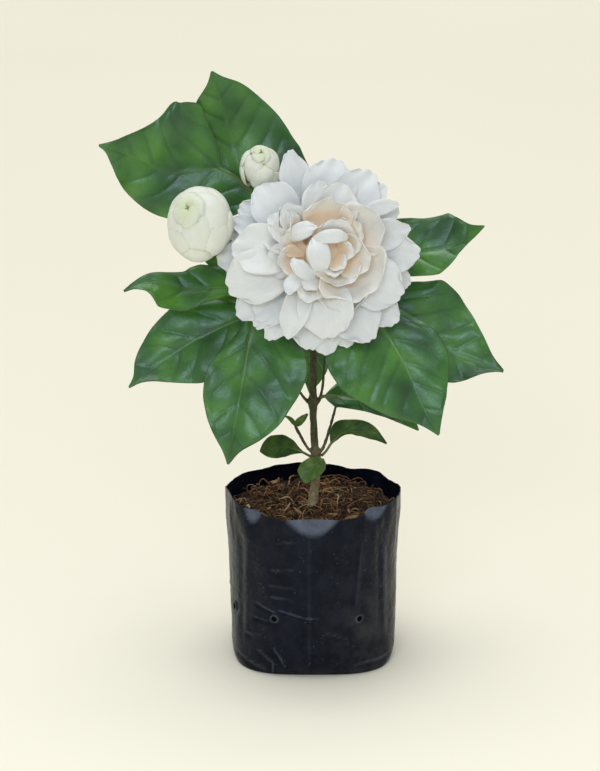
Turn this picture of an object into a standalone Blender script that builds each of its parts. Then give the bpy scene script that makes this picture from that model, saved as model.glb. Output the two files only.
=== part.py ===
import math
import random

import bmesh
import bpy
import numpy as np
from mathutils import Matrix, Vector

# Real sizes in millimetres unless said otherwise; the origin is the middle of the bag's flat base
MM = 0.001
SEAT_GAP = 0.3
BLADE_THICK = 0.66
PETAL_THICK = 0.66
SHORT_EDGE = 0.16

# Grow bag: height, half width and half depth of its outside, and how square its plan is
BAG_LEVELS = (
    (0.0, 37.3, 33.0, 3.3),
    (2.5, 38.6, 34.6, 3.0),
    (8.0, 39.3, 36.4, 2.7),
    (18.0, 39.6, 38.0, 2.35),
    (32.0, 39.8, 39.2, 2.15),
    (50.0, 40.2, 39.8, 2.05),
    (72.0, 41.3, 40.8, 2.0),
    (80.0, 41.7, 41.0, 2.0),
)
BAG_SEGMENTS = 32
BAG_WALL = 0.8
FILM_FOLD_LOW = 66.0
# Rim points that stand up: azimuth in degrees, half spread in degrees, rise
RIM_POINTS = (
    (-158, 17, 3.4), (-22, 15, 2.6), (-46, 8, 1.8), (180, 9, 1.4), (2, 9, 1.4), (62, 8, -1.4),
)
# Folds of the film under the rim: azimuth, half spread, how far the film leans in
RIM_FOLDS = (
    (-90, 26, 1.7), (-128, 12, 1.5), (-50, 14, 1.5), (-168, 10, 1.2), (60, 10, 1.4), (112, 20, 0.9),
)
# Drainage holes: azimuth in degrees and height
DRAIN_HOLES = ((-117, 30.0), (-58, 29.5), (-158, 27.5), (176, 33.0), (118, 30.0), (62, 29.0))
DRAIN_RADIUS = 1.15
DRAIN_CUT_DEPTH = 5.0

# Filling: level of its top, how far that rises and falls, and its rings as share of radius and drop
SOIL_TOP = 73.0
SOIL_RELIEF = 1.2
SOIL_EDGE_LEVEL = 71.0
SOIL_INSET = BAG_WALL + SEAT_GAP + 0.25
SOIL_RINGS = ((1.0, 1.4), (0.92, 0.2), (0.66, 0.0), (0.36, 0.0), (0.12, 0.0))
STEM_HOLE_FLOOR = 40.0
STEM_HOLE_RADIUS = 2.95
STEM_HOLE_CUT = 100.0
FIBRE_COUNT = 14
FIBRE_FIELD = 35.0
FIBRE_LIMIT = 36.5
FIBRE_ARCH = 0.75

# Woody parts: points as x, y, z and radius
TRUNK = (
    (0.0, 0.0, 40.3, 2.4), (-0.1, 0.0, 73.0, 2.5), (0.8, 0.0, 84.0, 2.1), (1.7, 0.0, 95.0, 1.9),
    (1.2, 0.0, 99.2, 2.6), (0.6, 0.0, 103.0, 1.8), (-0.1, 0.0, 119.0, 1.65), (-0.2, 0.0, 124.5, 2.4),
    (-0.2, 0.4, 129.0, 1.7), (0.0, 1.2, 149.0, 1.6), (0.2, 1.5, 154.0, 2.1), (0.6, 2.0, 159.0, 1.5),
    (0.8, 3.2, 180.0, 1.4), (0.4, 3.6, 184.0, 1.9), (-0.4, 3.8, 188.0, 1.4), (-2.0, 4.4, 203.0, 1.3),
    (-4.0, 5.4, 208.0, 1.6), (-11.0, 7.6, 213.0, 1.15), (-20.0, 10.4, 217.5, 1.2),
)
BRANCH_LEFT = (
    (0.2, 1.5, 153.5, 1.3), (-7.0, 1.4, 158.0, 1.15), (-13.0, -0.4, 166.0, 1.1), (-15.5, -1.6, 171.0, 1.3),
)
BRANCH_RIGHT = (
    (0.2, 1.5, 153.5, 1.3), (8.0, 1.0, 158.0, 1.15), (15.5, -0.8, 168.0, 1.1), (18.0, -2.0, 173.5, 1.3),
)
TWIG_LEFT = (
    (1.2, 0.0, 99.6, 0.9), (-1.9, -0.6, 101.0, 0.75), (-6.0, -2.6, 108.5, 0.65), (-8.4, -4.0, 114.0, 0.75),
)
TWIG_RIGHT = (
    (1.2, 0.0, 99.2, 0.9), (4.3, 0.6, 101.0, 0.8), (8.2, 2.6, 112.4, 0.7), (10.6, 4.6, 121.0, 0.6),
)

# Leaves: midrib points, half widths beside it (clockwise side, then the other) as share of length
# and millimetres, the way the upper face looks, stalk start, fold in degrees, edge wave and how
# many waves, faces along and across, and how calmly the blade's cross lines follow a bent midrib
LEAVES = {
    "leaf_top_left": {
        "midrib": (
            (-26.0, 10.5, 220.1), (-42.4, 11.5, 232.3), (-67.5, 10.0, 232.0), (-81.3, 7.0, 239.6),
            (-97.1, 2.0, 246.0),
        ),
        "clockwise": (
            (0.0, 0.5), (0.2, 1.2), (0.26, 2.0), (0.3, 10.2), (0.357, 20.8), (0.4, 29.8),
            (0.448, 31.2), (0.525, 32.2), (0.645, 31.5), (0.69, 27.0), (0.713, 22.2), (0.75, 18.0),
            (0.795, 13.0), (0.873, 8.0), (0.945, 3.5), (1.0, 0.4),
        ),
        "other": (
            (0.0, 4.8), (0.035, 13.0), (0.138, 21.0), (0.398, 23.5), (0.5, 21.2), (0.565, 19.8),
            (0.667, 17.5), (0.748, 15.2), (0.828, 10.2), (0.89, 6.0), (0.958, 1.6), (1.0, 0.4),
        ),
        "face": (-0.12, -0.98, 0.1),
        "stalk": ((-20.75, 10.4, 217.55),),
        "fold": 9.0, "wave": 1.6, "waves": 2.3, "grid": (14, 4), "steady": 0.2,
    },
    "leaf_top": {
        "midrib": (
            (-23.8, 15.5, 207.2), (-33.9, 19.0, 230.7), (-38.9, 21.5, 248.9), (-46.1, 14.0, 277.5),
        ),
        "clockwise": (
            (0.0, 0.5), (0.09, 25.0), (0.2, 28.5), (0.35, 28.5), (0.48, 26.0), (0.62, 21.6),
            (0.75, 15.4), (0.87, 10.2), (0.95, 3.8), (1.0, 0.4),
        ),
        "other": (
            (0.0, 0.5), (0.1, 7.5), (0.25, 12.0), (0.42, 16.0), (0.62, 16.4), (0.77, 13.2),
            (0.88, 5.4), (0.95, 1.7), (1.0, 0.4),
        ),
        "face": (0.1, -0.93, 0.36),
        "stalk": ((-19.6, 11.9, 216.2), (-21.4, 14.2, 211.6)),
        "fold": 8.0, "wave": 1.2, "waves": 2.0, "grid": (10, 4),
    },
    "leaf_right_upper": {
        "midrib": (
            (17.6, 4.0, 191.2), (32.7, 2.0, 193.1), (49.1, 0.0, 196.9), (65.8, -2.0, 201.2),
            (77.1, -6.0, 210.6),
        ),
        "clockwise": (
            (0.0, 0.5), (0.12, 5.5), (0.3, 9.0), (0.45, 11.5), (0.6, 12.5), (0.7, 10.2), (0.8, 3.4),
            (0.92, 1.2), (1.0, 0.4),
        ),
        "other": (
            (0.0, 0.5), (0.12, 9.0), (0.3, 17.0), (0.45, 18.0), (0.6, 17.0), (0.72, 16.0),
            (0.82, 12.0), (0.92, 4.5), (1.0, 0.4),
        ),
        "face": (0.05, -0.78, 0.62),
        "stalk": ((2.6, 3.9, 184.6), (9.0, 4.4, 188.5)),
        "fold": 10.0, "wave": 1.1, "waves": 1.6, "grid": (9, 4),
    },
    "leaf_right": {
        "midrib": (
            (22.3, -0.6, 175.1), (32.8, -3.0, 169.2), (45.3, -5.0, 161.2), (61.7, -8.0, 153.2),
            (86.9, -16.0, 145.0),
        ),
        "clockwise": (
            (0.0, 0.5), (0.12, 8.5), (0.3, 16.0), (0.45, 19.3), (0.6, 16.8), (0.72, 13.6), (0.8, 10.1),
            (0.9, 4.1), (1.0, 0.4),
        ),
        "other": (
            (0.0, 0.5), (0.12, 12.9), (0.25, 21.5), (0.4, 27.5), (0.52, 26.5), (0.64, 22.0),
            (0.78, 14.0), (0.9, 6.4), (1.0, 0.4),
        ),
        "face": (0.14, -0.89, 0.44),
        "stalk": ((18.85, -1.5, 174.5),),
        "fold": 9.0, "wave": 1.5, "waves": 2.2, "grid": (10, 4),
    },
    "leaf_front_right": {
        "midrib": (
            (23.0, -8.5, 176.1), (33.0, -15.0, 162.4), (41.9, -22.0, 148.0), (48.2, -28.0, 133.9),
            (56.8, -33.0, 119.8),
        ),
        "clockwise": (
            (0.0, 0.5), (0.1, 17.3), (0.22, 29.8), (0.38, 29.8), (0.5, 27.0), (0.62, 22.4),
            (0.75, 13.8), (0.88, 5.5), (1.0, 0.4),
        ),
        "other": (
            (0.0, 0.5), (0.1, 8.2), (0.22, 13.6), (0.38, 19.1), (0.5, 20.5), (0.62, 17.8),
            (0.75, 13.0), (0.88, 6.4), (1.0, 0.4),
        ),
        "face": (0.1, -0.9, 0.42),
        "stalk": ((18.2, -3.3, 173.8), (20.2, -6.4, 175.8)),
        "fold": 10.0, "wave": 1.4, "waves": 2.1, "grid": (10, 4),
    },
    "leaf_right_inner": {
        "midrib": ((5.5, 6.0, 125.6), (15.9, 8.0, 124.4), (31.4, 6.0, 121.1), (49.5, 1.0, 110.2)),
        "clockwise": (
            (0.0, 0.5), (0.15, 3.6), (0.35, 5.8), (0.5, 5.8), (0.7, 4.2), (0.88, 2.0), (1.0, 0.4),
        ),
        "other": (
            (0.0, 0.5), (0.15, 7.5), (0.3, 12.0), (0.5, 13.5), (0.7, 10.6), (0.88, 4.2), (1.0, 0.4),
        ),
        "face": (0.05, -0.78, 0.62),
        "stalk": ((2.1, 1.9, 124.6), (3.6, 4.4, 125.4)),
        "fold": 9.0, "wave": 0.8, "waves": 1.6, "grid": (8, 4),
    },
    "leaf_front_left": {
        "midrib": (
            (-21.9, -6.5, 177.3), (-27.8, -12.0, 164.2), (-31.8, -21.0, 146.0), (-34.9, -30.0, 129.3),
            (-39.1, -35.0, 106.3),
        ),
        "clockwise": (
            (0.0, 0.5), (0.08, 3.0), (0.17, 4.2), (0.28, 8.2), (0.42, 14.6), (0.54, 16.8),
            (0.62, 16.3), (0.72, 13.5), (0.82, 8.4), (0.92, 2.7), (1.0, 0.4),
        ),
        "other": (
            (0.0, 0.5), (0.08, 11.8), (0.18, 21.0), (0.3, 26.5), (0.42, 29.0), (0.54, 26.0),
            (0.62, 22.8), (0.72, 19.0), (0.82, 11.2), (0.92, 3.6), (1.0, 0.4),
        ),
        "face": (-0.06, -0.93, 0.38),
        "stalk": ((-15.5, -2.8, 171.3), (-18.4, -5.0, 175.0)),
        "fold": 11.0, "wave": 1.5, "waves": 2.4, "grid": (10, 4),
    },
    "leaf_left_lower": {
        "midrib": (
            (-20.3, 1.6, 172.2), (-32.1, -2.0, 166.5), (-53.8, -6.0, 156.8), (-70.8, -10.0, 146.8),
            (-84.7, -17.0, 137.3),
        ),
        "clockwise": (
            (0.0, 0.5), (0.1, 8.0), (0.3, 16.6), (0.48, 18.8), (0.6, 18.2), (0.7, 16.4), (0.8, 12.6),
            (0.87, 7.2), (0.94, 2.3), (1.0, 0.4),
        ),
        "other": (
            (0.0, 0.5), (0.1, 8.0), (0.3, 17.5), (0.46, 21.2), (0.58, 18.0), (0.68, 14.0), (0.78, 8.7),
            (0.87, 4.0), (0.94, 1.4), (1.0, 0.4),
        ),
        "face": (-0.15, -0.88, 0.45),
        "stalk": ((-16.9, -1.0, 171.6),),
        "fold": 9.0, "wave": 1.5, "waves": 2.1, "grid": (10, 4),
    },
    "leaf_left": {
        "midrib": (
            (-13.2, 1.5, 181.2), (-29.3, -2.0, 182.0), (-56.6, -9.5, 182.0), (-74.4, -13.0, 186.2),
            (-85.9, -17.0, 183.1),
        ),
        "clockwise": (
            (0.0, 0.5), (0.1, 4.6), (0.3, 11.0), (0.5, 10.6), (0.65, 9.0), (0.78, 7.2), (0.9, 2.8),
            (1.0, 0.4),
        ),
        "other": (
            (0.0, 0.5), (0.1, 2.8), (0.3, 5.2), (0.5, 7.6), (0.65, 12.0), (0.76, 12.6), (0.84, 6.4),
            (0.92, 1.6), (1.0, 0.4),
        ),
        "face": (-0.05, -0.72, 0.7),
        "stalk": ((-1.85, 3.0, 183.7), (-7.0, 2.6, 182.4)),
        "fold": 12.0, "wave": 1.3, "waves": 2.2, "grid": (10, 4),
    },
    "leaf_left_inner": {
        "midrib": ((-11.9, 9.0, 184.2), (-27.2, 11.0, 187.0), (-41.0, 9.5, 193.0), (-55.8, 5.0, 203.0)),
        "clockwise": (
            (0.0, 0.5), (0.15, 4.6), (0.35, 7.9), (0.55, 8.6), (0.75, 6.2), (0.9, 2.3), (1.0, 0.4),
        ),
        "other": (
            (0.0, 0.5), (0.15, 4.6), (0.35, 7.4), (0.55, 9.0), (0.75, 7.5), (0.9, 2.8), (1.0, 0.4),
        ),
        "face": (-0.1, -0.9, 0.42),
        "stalk": ((-1.2, 5.4, 184.6), (-6.0, 7.4, 184.2)),
        "fold": 9.0, "wave": 0.8, "waves": 1.5, "grid": (8, 4),
    },
    "leaf_hanging_back": {
        "midrib": ((2.2, 7.6, 155.4), (0.8, 10.0, 142.1), (-1.6, 11.5, 125.1)),
        "clockwise": (
            (0.0, 0.5), (0.15, 3.8), (0.35, 7.2), (0.55, 7.0), (0.75, 4.4), (0.9, 2.0), (1.0, 0.4),
        ),
        "other": (
            (0.0, 0.5), (0.15, 3.8), (0.35, 6.6), (0.55, 6.4), (0.75, 4.4), (0.9, 2.0), (1.0, 0.4),
        ),
        "face": (0.0, -0.95, 0.3),
        "stalk": ((0.9, 4.0, 154.1), (1.9, 6.2, 155.2)),
        "fold": 10.0, "wave": 0.7, "waves": 1.5, "grid": (8, 4),
    },
    "leaf_small_left": {
        "midrib": ((-5.0, -3.6, 100.9), (-14.2, -8.0, 105.1), (-24.9, -12.0, 104.3)),
        "clockwise": (
            (0.0, 0.45), (0.12, 1.6), (0.3, 4.2), (0.5, 5.8), (0.68, 4.8), (0.85, 2.1), (1.0, 0.35),
        ),
        "other": (
            (0.0, 0.45), (0.12, 1.6), (0.3, 3.2), (0.5, 4.7), (0.68, 4.6), (0.85, 2.4), (1.0, 0.35),
        ),
        "face": (-0.05, -0.8, 0.6),
        "stalk": ((-1.0, -2.2, 98.2), (-2.8, -3.0, 99.4)),
        "fold": 10.0, "wave": 0.4, "waves": 1.4, "grid": (7, 4),
    },
    "leaf_small_right": {
        "midrib": ((8.3, -1.6, 104.6), (14.8, -3.4, 110.6), (24.1, -5.0, 111.6), (34.2, -8.0, 106.7)),
        "clockwise": (
            (0.0, 0.45), (0.15, 1.7), (0.3, 2.6), (0.5, 3.8), (0.7, 3.4), (0.88, 1.5), (1.0, 0.35),
        ),
        "other": (
            (0.0, 0.45), (0.15, 3.8), (0.3, 6.0), (0.5, 6.0), (0.7, 4.4), (0.88, 1.9), (1.0, 0.35),
        ),
        "face": (0.0, -0.72, 0.7),
        "stalk": ((3.9, -1.6, 98.6), (6.0, -2.2, 101.0)),
        "fold": 20.0, "wave": 0.4, "waves": 1.4, "grid": (7, 4),
    },
    "leaf_small_front": {
        "midrib": ((4.6, -5.0, 97.8), (0.2, -11.0, 96.7), (-3.8, -15.0, 89.4)),
        "clockwise": (
            (0.0, 0.45), (0.2, 2.1), (0.4, 3.9), (0.6, 5.1), (0.75, 5.0), (0.9, 2.3), (1.0, 0.35),
        ),
        "other": (
            (0.0, 0.45), (0.2, 2.8), (0.4, 4.4), (0.6, 4.4), (0.75, 3.0), (0.9, 1.3), (1.0, 0.35),
        ),
        "face": (-0.1, -0.7, 0.72),
        "stalk": ((2.0, -2.8, 98.4),),
        "fold": 8.0, "wave": 0.3, "waves": 1.2, "grid": (7, 4),
    },
}
STALK_RADIUS = 0.8
SMALL_STALK_RADIUS = 0.6
STALK_UNDER_BLADE = (0.0, 0.06, 0.14)
STALK_TAPER = 0.7
CROSS_LINE_STEP = 0.004
BLADE_ARCH = 0.45
WAVE_FULL_WIDTH = 6.0
WAVE_PHASES = (0.6, 2.4)
TINY_LEAVES = (
    {
        "midrib": ((-8.5, -4.1, 114.9), (-5.6, -3.4, 116.6), (-2.6, -2.6, 119.6)),
        "clockwise": ((0.0, 0.5), (0.4, 1.3), (0.7, 1.0), (1.0, 0.35)),
        "other": ((0.0, 0.5), (0.4, 1.3), (0.7, 1.0), (1.0, 0.35)),
        "face": (-0.2, -0.7, 0.7),
        "stalk": (),
        "fold": 30.0, "wave": 0.0, "waves": 1.0, "grid": (4, 2),
    },
    {
        "midrib": ((-8.3, -4.1, 114.9), (-10.8, -4.2, 117.4), (-13.4, -4.6, 119.2)),
        "clockwise": ((0.0, 0.5), (0.4, 1.2), (0.7, 0.9), (1.0, 0.35)),
        "other": ((0.0, 0.5), (0.4, 1.2), (0.7, 0.9), (1.0, 0.35)),
        "face": (0.2, -0.7, 0.7),
        "stalk": (),
        "fold": 30.0, "wave": 0.0, "waves": 1.0, "grid": (4, 2),
    },
)

# Bloom: middle of its base, and its own axes (right, up along its face, out towards the front)
BLOOM_CENTRE = (0.9, -14.0, 199.5)
BLOOM_TILT = 18.0
BLOOM_CORE = ((0.0, 0.0, 2.2), (14.0, 14.0, 3.9))
BLOOM_HEART = ((5.0, 0.0, 7.2), (10.5, 9.5, 4.4))
BACK_FOOT = 12.6
MIDDLE_FOOT = 9.6
# Petal form: where it is widest, how full its tip is, and how its rim ruffles
PETAL_FOOT_WIDTH = 0.4
PETAL_WIDEST = 0.6
PETAL_TIP_SPAN = 0.42
PETAL_TIP_FULLNESS = 2.6
PETAL_ROW_CROWDING = 1.5
PETAL_SHOULDER = 0.1
PETAL_RUFFLE = 0.06
WIDE_PETAL = 9.0
DEEP_PETAL = 45
# Outer petals: foot height, tip, bulge outwards, half width, cup in degrees, roll in degrees
BACK_PETALS = (
    (2.2, (-12.2, 45.9, 8.5), -1.5, 7.4, 30, 0),
    (0.6, (8.8, 42.6, 5.0), -4.0, 14.0, 26, 0),
    (2.2, (25.0, 37.0, 5.5), -3.0, 10.0, 34, 8),
    (0.4, (31.0, 31.5, 2.5), -2.0, 8.0, 30, -12),
    (1.4, (37.4, 19.9, 4.5), -2.0, 6.2, 38, 10),
    (2.6, (42.3, 11.2, 7.0), -2.5, 8.0, 38, 12),
    (1.2, (46.8, 0.2, 5.0), -3.5, 10.5, 24, 6),
    (0.2, (42.8, -13.2, 2.0), -2.0, 8.0, 22, 0),
    (2.6, (38.6, -19.4, 8.0), -4.0, 12.5, 22, 8),
    (0.4, (36.5, -31.2, 2.5), -3.0, 9.5, 22, -6),
    (1.8, (24.8, -39.4, 6.0), -4.0, 13.0, 22, 0),
    (0.2, (14.6, -42.2, 2.0), -2.5, 8.5, 20, 0),
    (1.2, (5.0, -45.6, 3.0), -3.0, 9.6, 20, 0),
    (2.4, (-3.4, -43.4, 6.0), -3.0, 9.6, 20, -6),
    (0.6, (-21.6, -39.0, 3.5), -2.5, 7.6, 24, 0),
    (2.2, (-27.5, -33.4, 5.5), -2.5, 7.6, 24, 0),
    (0.6, (-35.2, -28.6, 3.5), -3.5, 10.8, 24, -8),
    (1.4, (-44.6, -2.8, 4.0), -3.0, 9.2, 24, 0),
    (0.2, (-39.4, 9.4, 2.0), -2.0, 6.6, 28, 8),
    (2.4, (-38.4, 15.0, 6.0), -2.5, 6.6, 30, -8),
    (1.0, (-34.4, 22.0, 4.0), -3.0, 10.0, 26, 0),
    (2.6, (-26.6, 29.8, 7.0), -3.5, 10.6, 26, 6),
)
MIDDLE_PETALS = (
    (4.5, (1.2, 32.0, 11.5), -2.5, 8.0, 36, -8),
    (5.5, (12.6, 30.4, 12.5), -3.0, 10.2, 32, 6),
    (4.5, (-39.8, -16.0, 10.0), -5.5, 12.0, 28, -6),
    (5.5, (-37.6, 1.8, 12.5), -5.5, 12.2, 28, 8),
    (5.5, (-13.2, -38.4, 12.5), -5.0, 6.6, 46, 0),
    (4.5, (6.4, -38.0, 11.0), -5.0, 14.0, 28, 4),
    (6.5, (12.0, -27.0, 15.5), -3.0, 12.4, 34, 0),
    (6.0, (-4.0, -24.4, 15.5), -2.0, 7.0, 40, -14),
    (6.5, (-11.8, -18.0, 14.5), -1.5, 5.0, 34, 0),
    (6.0, (-24.8, 8.4, 15.0), -1.5, 7.4, 48, 16),
    (6.5, (-22.6, -5.0, 14.5), -1.5, 8.0, 44, -12),
    (6.0, (-21.4, 15.4, 14.5), -1.5, 8.0, 46, 12),
    (6.5, (-14.0, 20.6, 17.0), 1.0, 7.6, 50, 8),
)
# Inner petals: foot, tip, bulge outwards, half width, cup in degrees, roll in degrees
INNER_PETALS = (
    ((12.0, 5.0, 8.0), (24.0, 23.0, 17.5), 2.5, 13.5, 54, 0),
    ((5.0, 6.5, 8.0), (5.4, 23.6, 19.5), 3.5, 13.0, 60, 0),
    ((13.0, -3.0, 7.5), (32.0, -8.6, 17.5), 4.5, 14.5, 58, 0),
    ((9.0, -6.0, 8.0), (19.0, -22.0, 18.0), 3.5, 14.0, 54, 0),
    ((5.5, 4.0, 10.0), (7.0, 15.6, 21.5), 2.0, 10.0, 58, 0),
    ((13.0, 1.0, 10.0), (23.6, 8.0, 21.0), 2.5, 9.5, 56, 0),
    ((-2.5, 0.5, 9.5), (-2.4, 12.0, 22.0), 1.5, 4.6, 40, -30),
    ((1.0, -5.0, 9.5), (-9.0, -5.0, 19.5), 1.0, 4.8, 36, 10),
    ((3.0, -8.0, 9.5), (-0.6, 7.0, 24.5), -3.5, 6.6, 50, 0),
    ((6.0, 0.5, 10.5), (14.4, 6.8, 23.0), 0.5, 5.0, 44, -20),
    ((11.0, -4.5, 10.0), (17.4, -2.0, 21.5), 2.0, 7.0, 58, 10),
    ((9.5, -6.5, 10.0), (12.4, -13.4, 20.5), 2.0, 8.6, 56, 6),
)
CALYX_TUBE = ((0.0, 0.0, -2.0, 3.6), (0.0, 0.0, -5.0, 3.1), (0.0, 0.0, -9.0, 1.7), (0.0, 0.6, -11.5, 1.1))
BLOOM_STALK_END = (-1.9, 1.9, 203.6)
SEPAL_COUNT = 5
BLOOM_SEPAL = ((2.6, -5.6), (9.5, -7.0), 0.7)

# Buds: middle, radius, axis from base to tip, petal count
BUD_LARGE = {
    "middle": (-51.3, -20.0, 215.6), "radius": 14.1, "axis": (-0.34, -0.74, 0.58),
    "petals": 8, "spin": 35.0, "stretch": 1.14,
}
BUD_SMALL = {
    "middle": (-24.1, -1.0, 236.9), "radius": 8.4, "axis": (0.06, -0.62, 0.78),
    "petals": 6, "spin": 10.0, "stretch": 1.17,
}
BUD_HEART_SINK = 3.0
BUD_SEPAL_RADIUS = 0.6
# Outer and inner wraps of a bud: top in degrees, half spread in degrees, how far under the bud's
# radius they lie, edge lift, how far foot and tip sink, and how far they turn round the axis
OUTER_WRAP = {
    "top": 36.0, "step": 10.0, "half": 58.0, "under": -0.1,
    "lift": 0.62, "foot": 3.6, "tip": 0.9, "turn": 0.35,
}
INNER_WRAP = {
    "top": 76.0, "step": 0.0, "half": 50.0, "under": 1.7,
    "lift": 0.3, "foot": 1.9, "tip": 1.7, "turn": 0.9,
}
WRAP_BOTTOM = -66.0
BUD_LARGE_STALK = ((-38.6, -5.2, 201.4), (-30.0, -2.6, 203.0), (-14.0, 0.8, 203.8), (-4.1, 3.2, 204.2))
BUD_SMALL_STALK = ((-26.0, 5.2, 227.0), (-24.6, 6.4, 222.4), (-19.2, 8.2, 218.6))

COLOURS = {
    "film": ((0.016, 0.019, 0.028), 0.42),
    "medium": ((0.115, 0.06, 0.03), 0.95),
    "bark": ((0.2, 0.16, 0.085), 0.8),
    "leaf_green": ((0.045, 0.15, 0.03), 0.4),
    "young_green": ((0.12, 0.27, 0.045), 0.42),
    "petal_white": ((0.86, 0.84, 0.8), 0.5),
    "bud_white": ((0.78, 0.8, 0.66), 0.5),
    "calyx_green": ((0.3, 0.42, 0.12), 0.5),
}


# Scene helpers
def clear_scene():
    for item in list(bpy.data.objects):
        bpy.data.objects.remove(item, do_unlink=True)


def new_collection(name):
    group = bpy.data.collections.new(name)
    bpy.context.scene.collection.children.link(group)
    return group


def make_material(name):
    colour, roughness = COLOURS[name]
    material = bpy.data.materials.new(name)
    material.use_nodes = True
    shader = material.node_tree.nodes["Principled BSDF"]
    shader.inputs["Base Color"].default_value = (colour[0], colour[1], colour[2], 1.0)
    shader.inputs["Roughness"].default_value = roughness
    shader.inputs["Metallic"].default_value = 0.0
    return material


def add_object(name, bm, group, material=None):
    mesh = bpy.data.meshes.new(name)
    bm.to_mesh(mesh)
    bm.free()
    item = bpy.data.objects.new(name, mesh)
    if material is not None:
        mesh.materials.append(material)
    group.objects.link(item)
    return item


def apply_modifiers(item):
    graph = bpy.context.evaluated_depsgraph_get()
    mesh = bpy.data.meshes.new_from_object(item.evaluated_get(graph), depsgraph=graph)
    old = item.data
    item.modifiers.clear()
    item.data = mesh
    bpy.data.meshes.remove(old)


# Keeps the largest closed shell and drops scraps and sealed hollows
def keep_main_shell(item):
    bm = bmesh.new()
    bm.from_mesh(item.data)
    bmesh.ops.triangulate(bm, faces=bm.faces[:])
    seen = set()
    shells = []
    for face in bm.faces:
        if face in seen:
            continue
        seen.add(face)
        stack = [face]
        shell = []
        while stack:
            current = stack.pop()
            shell.append(current)
            for edge in current.edges:
                for other in edge.link_faces:
                    if other not in seen:
                        seen.add(other)
                        stack.append(other)
        shells.append((shell_volume(shell), shell))
    shells.sort(key=lambda entry: entry[0], reverse=True)
    for _, shell in shells[1:]:
        bmesh.ops.delete(bm, geom=shell, context="FACES")
    merge_short_edges(bm)
    bm.to_mesh(item.data)
    bm.free()


# Joins the ends of slivers that a union leaves, where no face turns over and the skin stays closed
def merge_short_edges(bm):
    for _ in range(3):
        short = [edge for edge in bm.edges if edge.calc_length() < SHORT_EDGE * MM]
        short.sort(key=lambda edge: edge.calc_length())
        merged = 0
        for edge in short:
            if edge.is_valid and can_merge(edge):
                keep, gone = edge.verts
                keep.co = (keep.co + gone.co) / 2.0
                bmesh.ops.weld_verts(bm, targetmap={gone: keep})
                merged += 1
        if merged == 0:
            break


def can_merge(edge):
    keep, gone = edge.verts
    near = {other.other_vert(keep) for other in keep.link_edges}
    far = {other.other_vert(gone) for other in gone.link_edges}
    if len(near & far) != 2 or len(edge.link_faces) != 2:
        return False
    middle = (keep.co + gone.co) / 2.0
    shared = set(edge.link_faces)
    for vertex in (keep, gone):
        for face in vertex.link_faces:
            if face in shared:
                continue
            corners = [middle if corner is vertex else corner.co for corner in face.verts]
            moved = (corners[1] - corners[0]).cross(corners[2] - corners[0])
            before = [corner.co for corner in face.verts]
            old = (before[1] - before[0]).cross(before[2] - before[0])
            if moved.length < 1e-12 or old.length < 1e-14:
                continue
            if moved.normalized().dot(old.normalized()) < 0.5:
                return False
    return True


def shell_volume(faces):
    total = 0.0
    for face in faces:
        a, b, c = (vertex.co for vertex in face.verts)
        total += a.dot(b.cross(c)) / 6.0
    return total


def fuse(base, extras, group, name):
    feeders = bpy.data.collections.new(name + "_feed")
    bpy.context.scene.collection.children.link(feeders)
    for item in extras:
        for holder in list(item.users_collection):
            holder.objects.unlink(item)
        feeders.objects.link(item)
    cut = base.modifiers.new("union", "BOOLEAN")
    cut.operation = "UNION"
    cut.operand_type = "COLLECTION"
    cut.collection = feeders
    cut.solver = "MANIFOLD"
    apply_modifiers(base)
    for item in list(feeders.objects):
        bpy.data.objects.remove(item, do_unlink=True)
    bpy.data.collections.remove(feeders)
    keep_main_shell(base)
    base.name = name
    base.data.name = name
    return base


def smooth(item, angle=40.0):
    for polygon in item.data.polygons:
        polygon.use_smooth = True
    item.data.set_sharp_from_angle(angle=math.radians(angle))


# Curve helpers
def steady_curve(stations, values, at):
    x = np.array(stations, float)
    y = np.array(values, float)
    slope = np.diff(y) / np.diff(x)
    tangent = np.zeros_like(y)
    for i in range(1, len(y) - 1):
        if slope[i - 1] * slope[i] > 0.0:
            tangent[i] = 2.0 * slope[i - 1] * slope[i] / (slope[i - 1] + slope[i])
    tangent[0] = slope[0]
    tangent[-1] = slope[-1]
    at = np.clip(at, x[0], x[-1])
    k = np.clip(np.searchsorted(x, at, side="right") - 1, 0, len(x) - 2)
    h = x[k + 1] - x[k]
    t = (at - x[k]) / h
    a = (2 * t**3 - 3 * t**2 + 1) * y[k] + (t**3 - 2 * t**2 + t) * h * tangent[k]
    b = (-2 * t**3 + 3 * t**2) * y[k + 1] + (t**3 - t**2) * h * tangent[k + 1]
    return a + b


def flowing_line(points, at):
    pts = np.array(points, float)
    steps = np.linalg.norm(np.diff(pts, axis=0), axis=1)
    knots = np.concatenate([[0.0], np.cumsum(steps)])
    knots = knots / knots[-1]
    tangent = np.zeros_like(pts)
    for i in range(1, len(pts) - 1):
        tangent[i] = (pts[i + 1] - pts[i - 1]) / (knots[i + 1] - knots[i - 1])
    first = (pts[1] - pts[0]) / (knots[1] - knots[0])
    last = (pts[-1] - pts[-2]) / (knots[-1] - knots[-2])
    tangent[0] = 1.5 * first - 0.5 * tangent[1] if len(pts) > 2 else first
    tangent[-1] = 1.5 * last - 0.5 * tangent[-2] if len(pts) > 2 else last
    at = np.atleast_1d(np.clip(at, 0.0, 1.0))
    k = np.clip(np.searchsorted(knots, at, side="right") - 1, 0, len(pts) - 2)
    h = (knots[k + 1] - knots[k])[:, None]
    t = ((at - knots[k]) / (knots[k + 1] - knots[k]))[:, None]
    place = (2 * t**3 - 3 * t**2 + 1) * pts[k] + (t**3 - 2 * t**2 + t) * h * tangent[k]
    place = place + (-2 * t**3 + 3 * t**2) * pts[k + 1] + (t**3 - t**2) * h * tangent[k + 1]
    return place


def unit(rows):
    return rows / np.maximum(np.linalg.norm(rows, axis=-1, keepdims=True), 1e-9)


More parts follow.
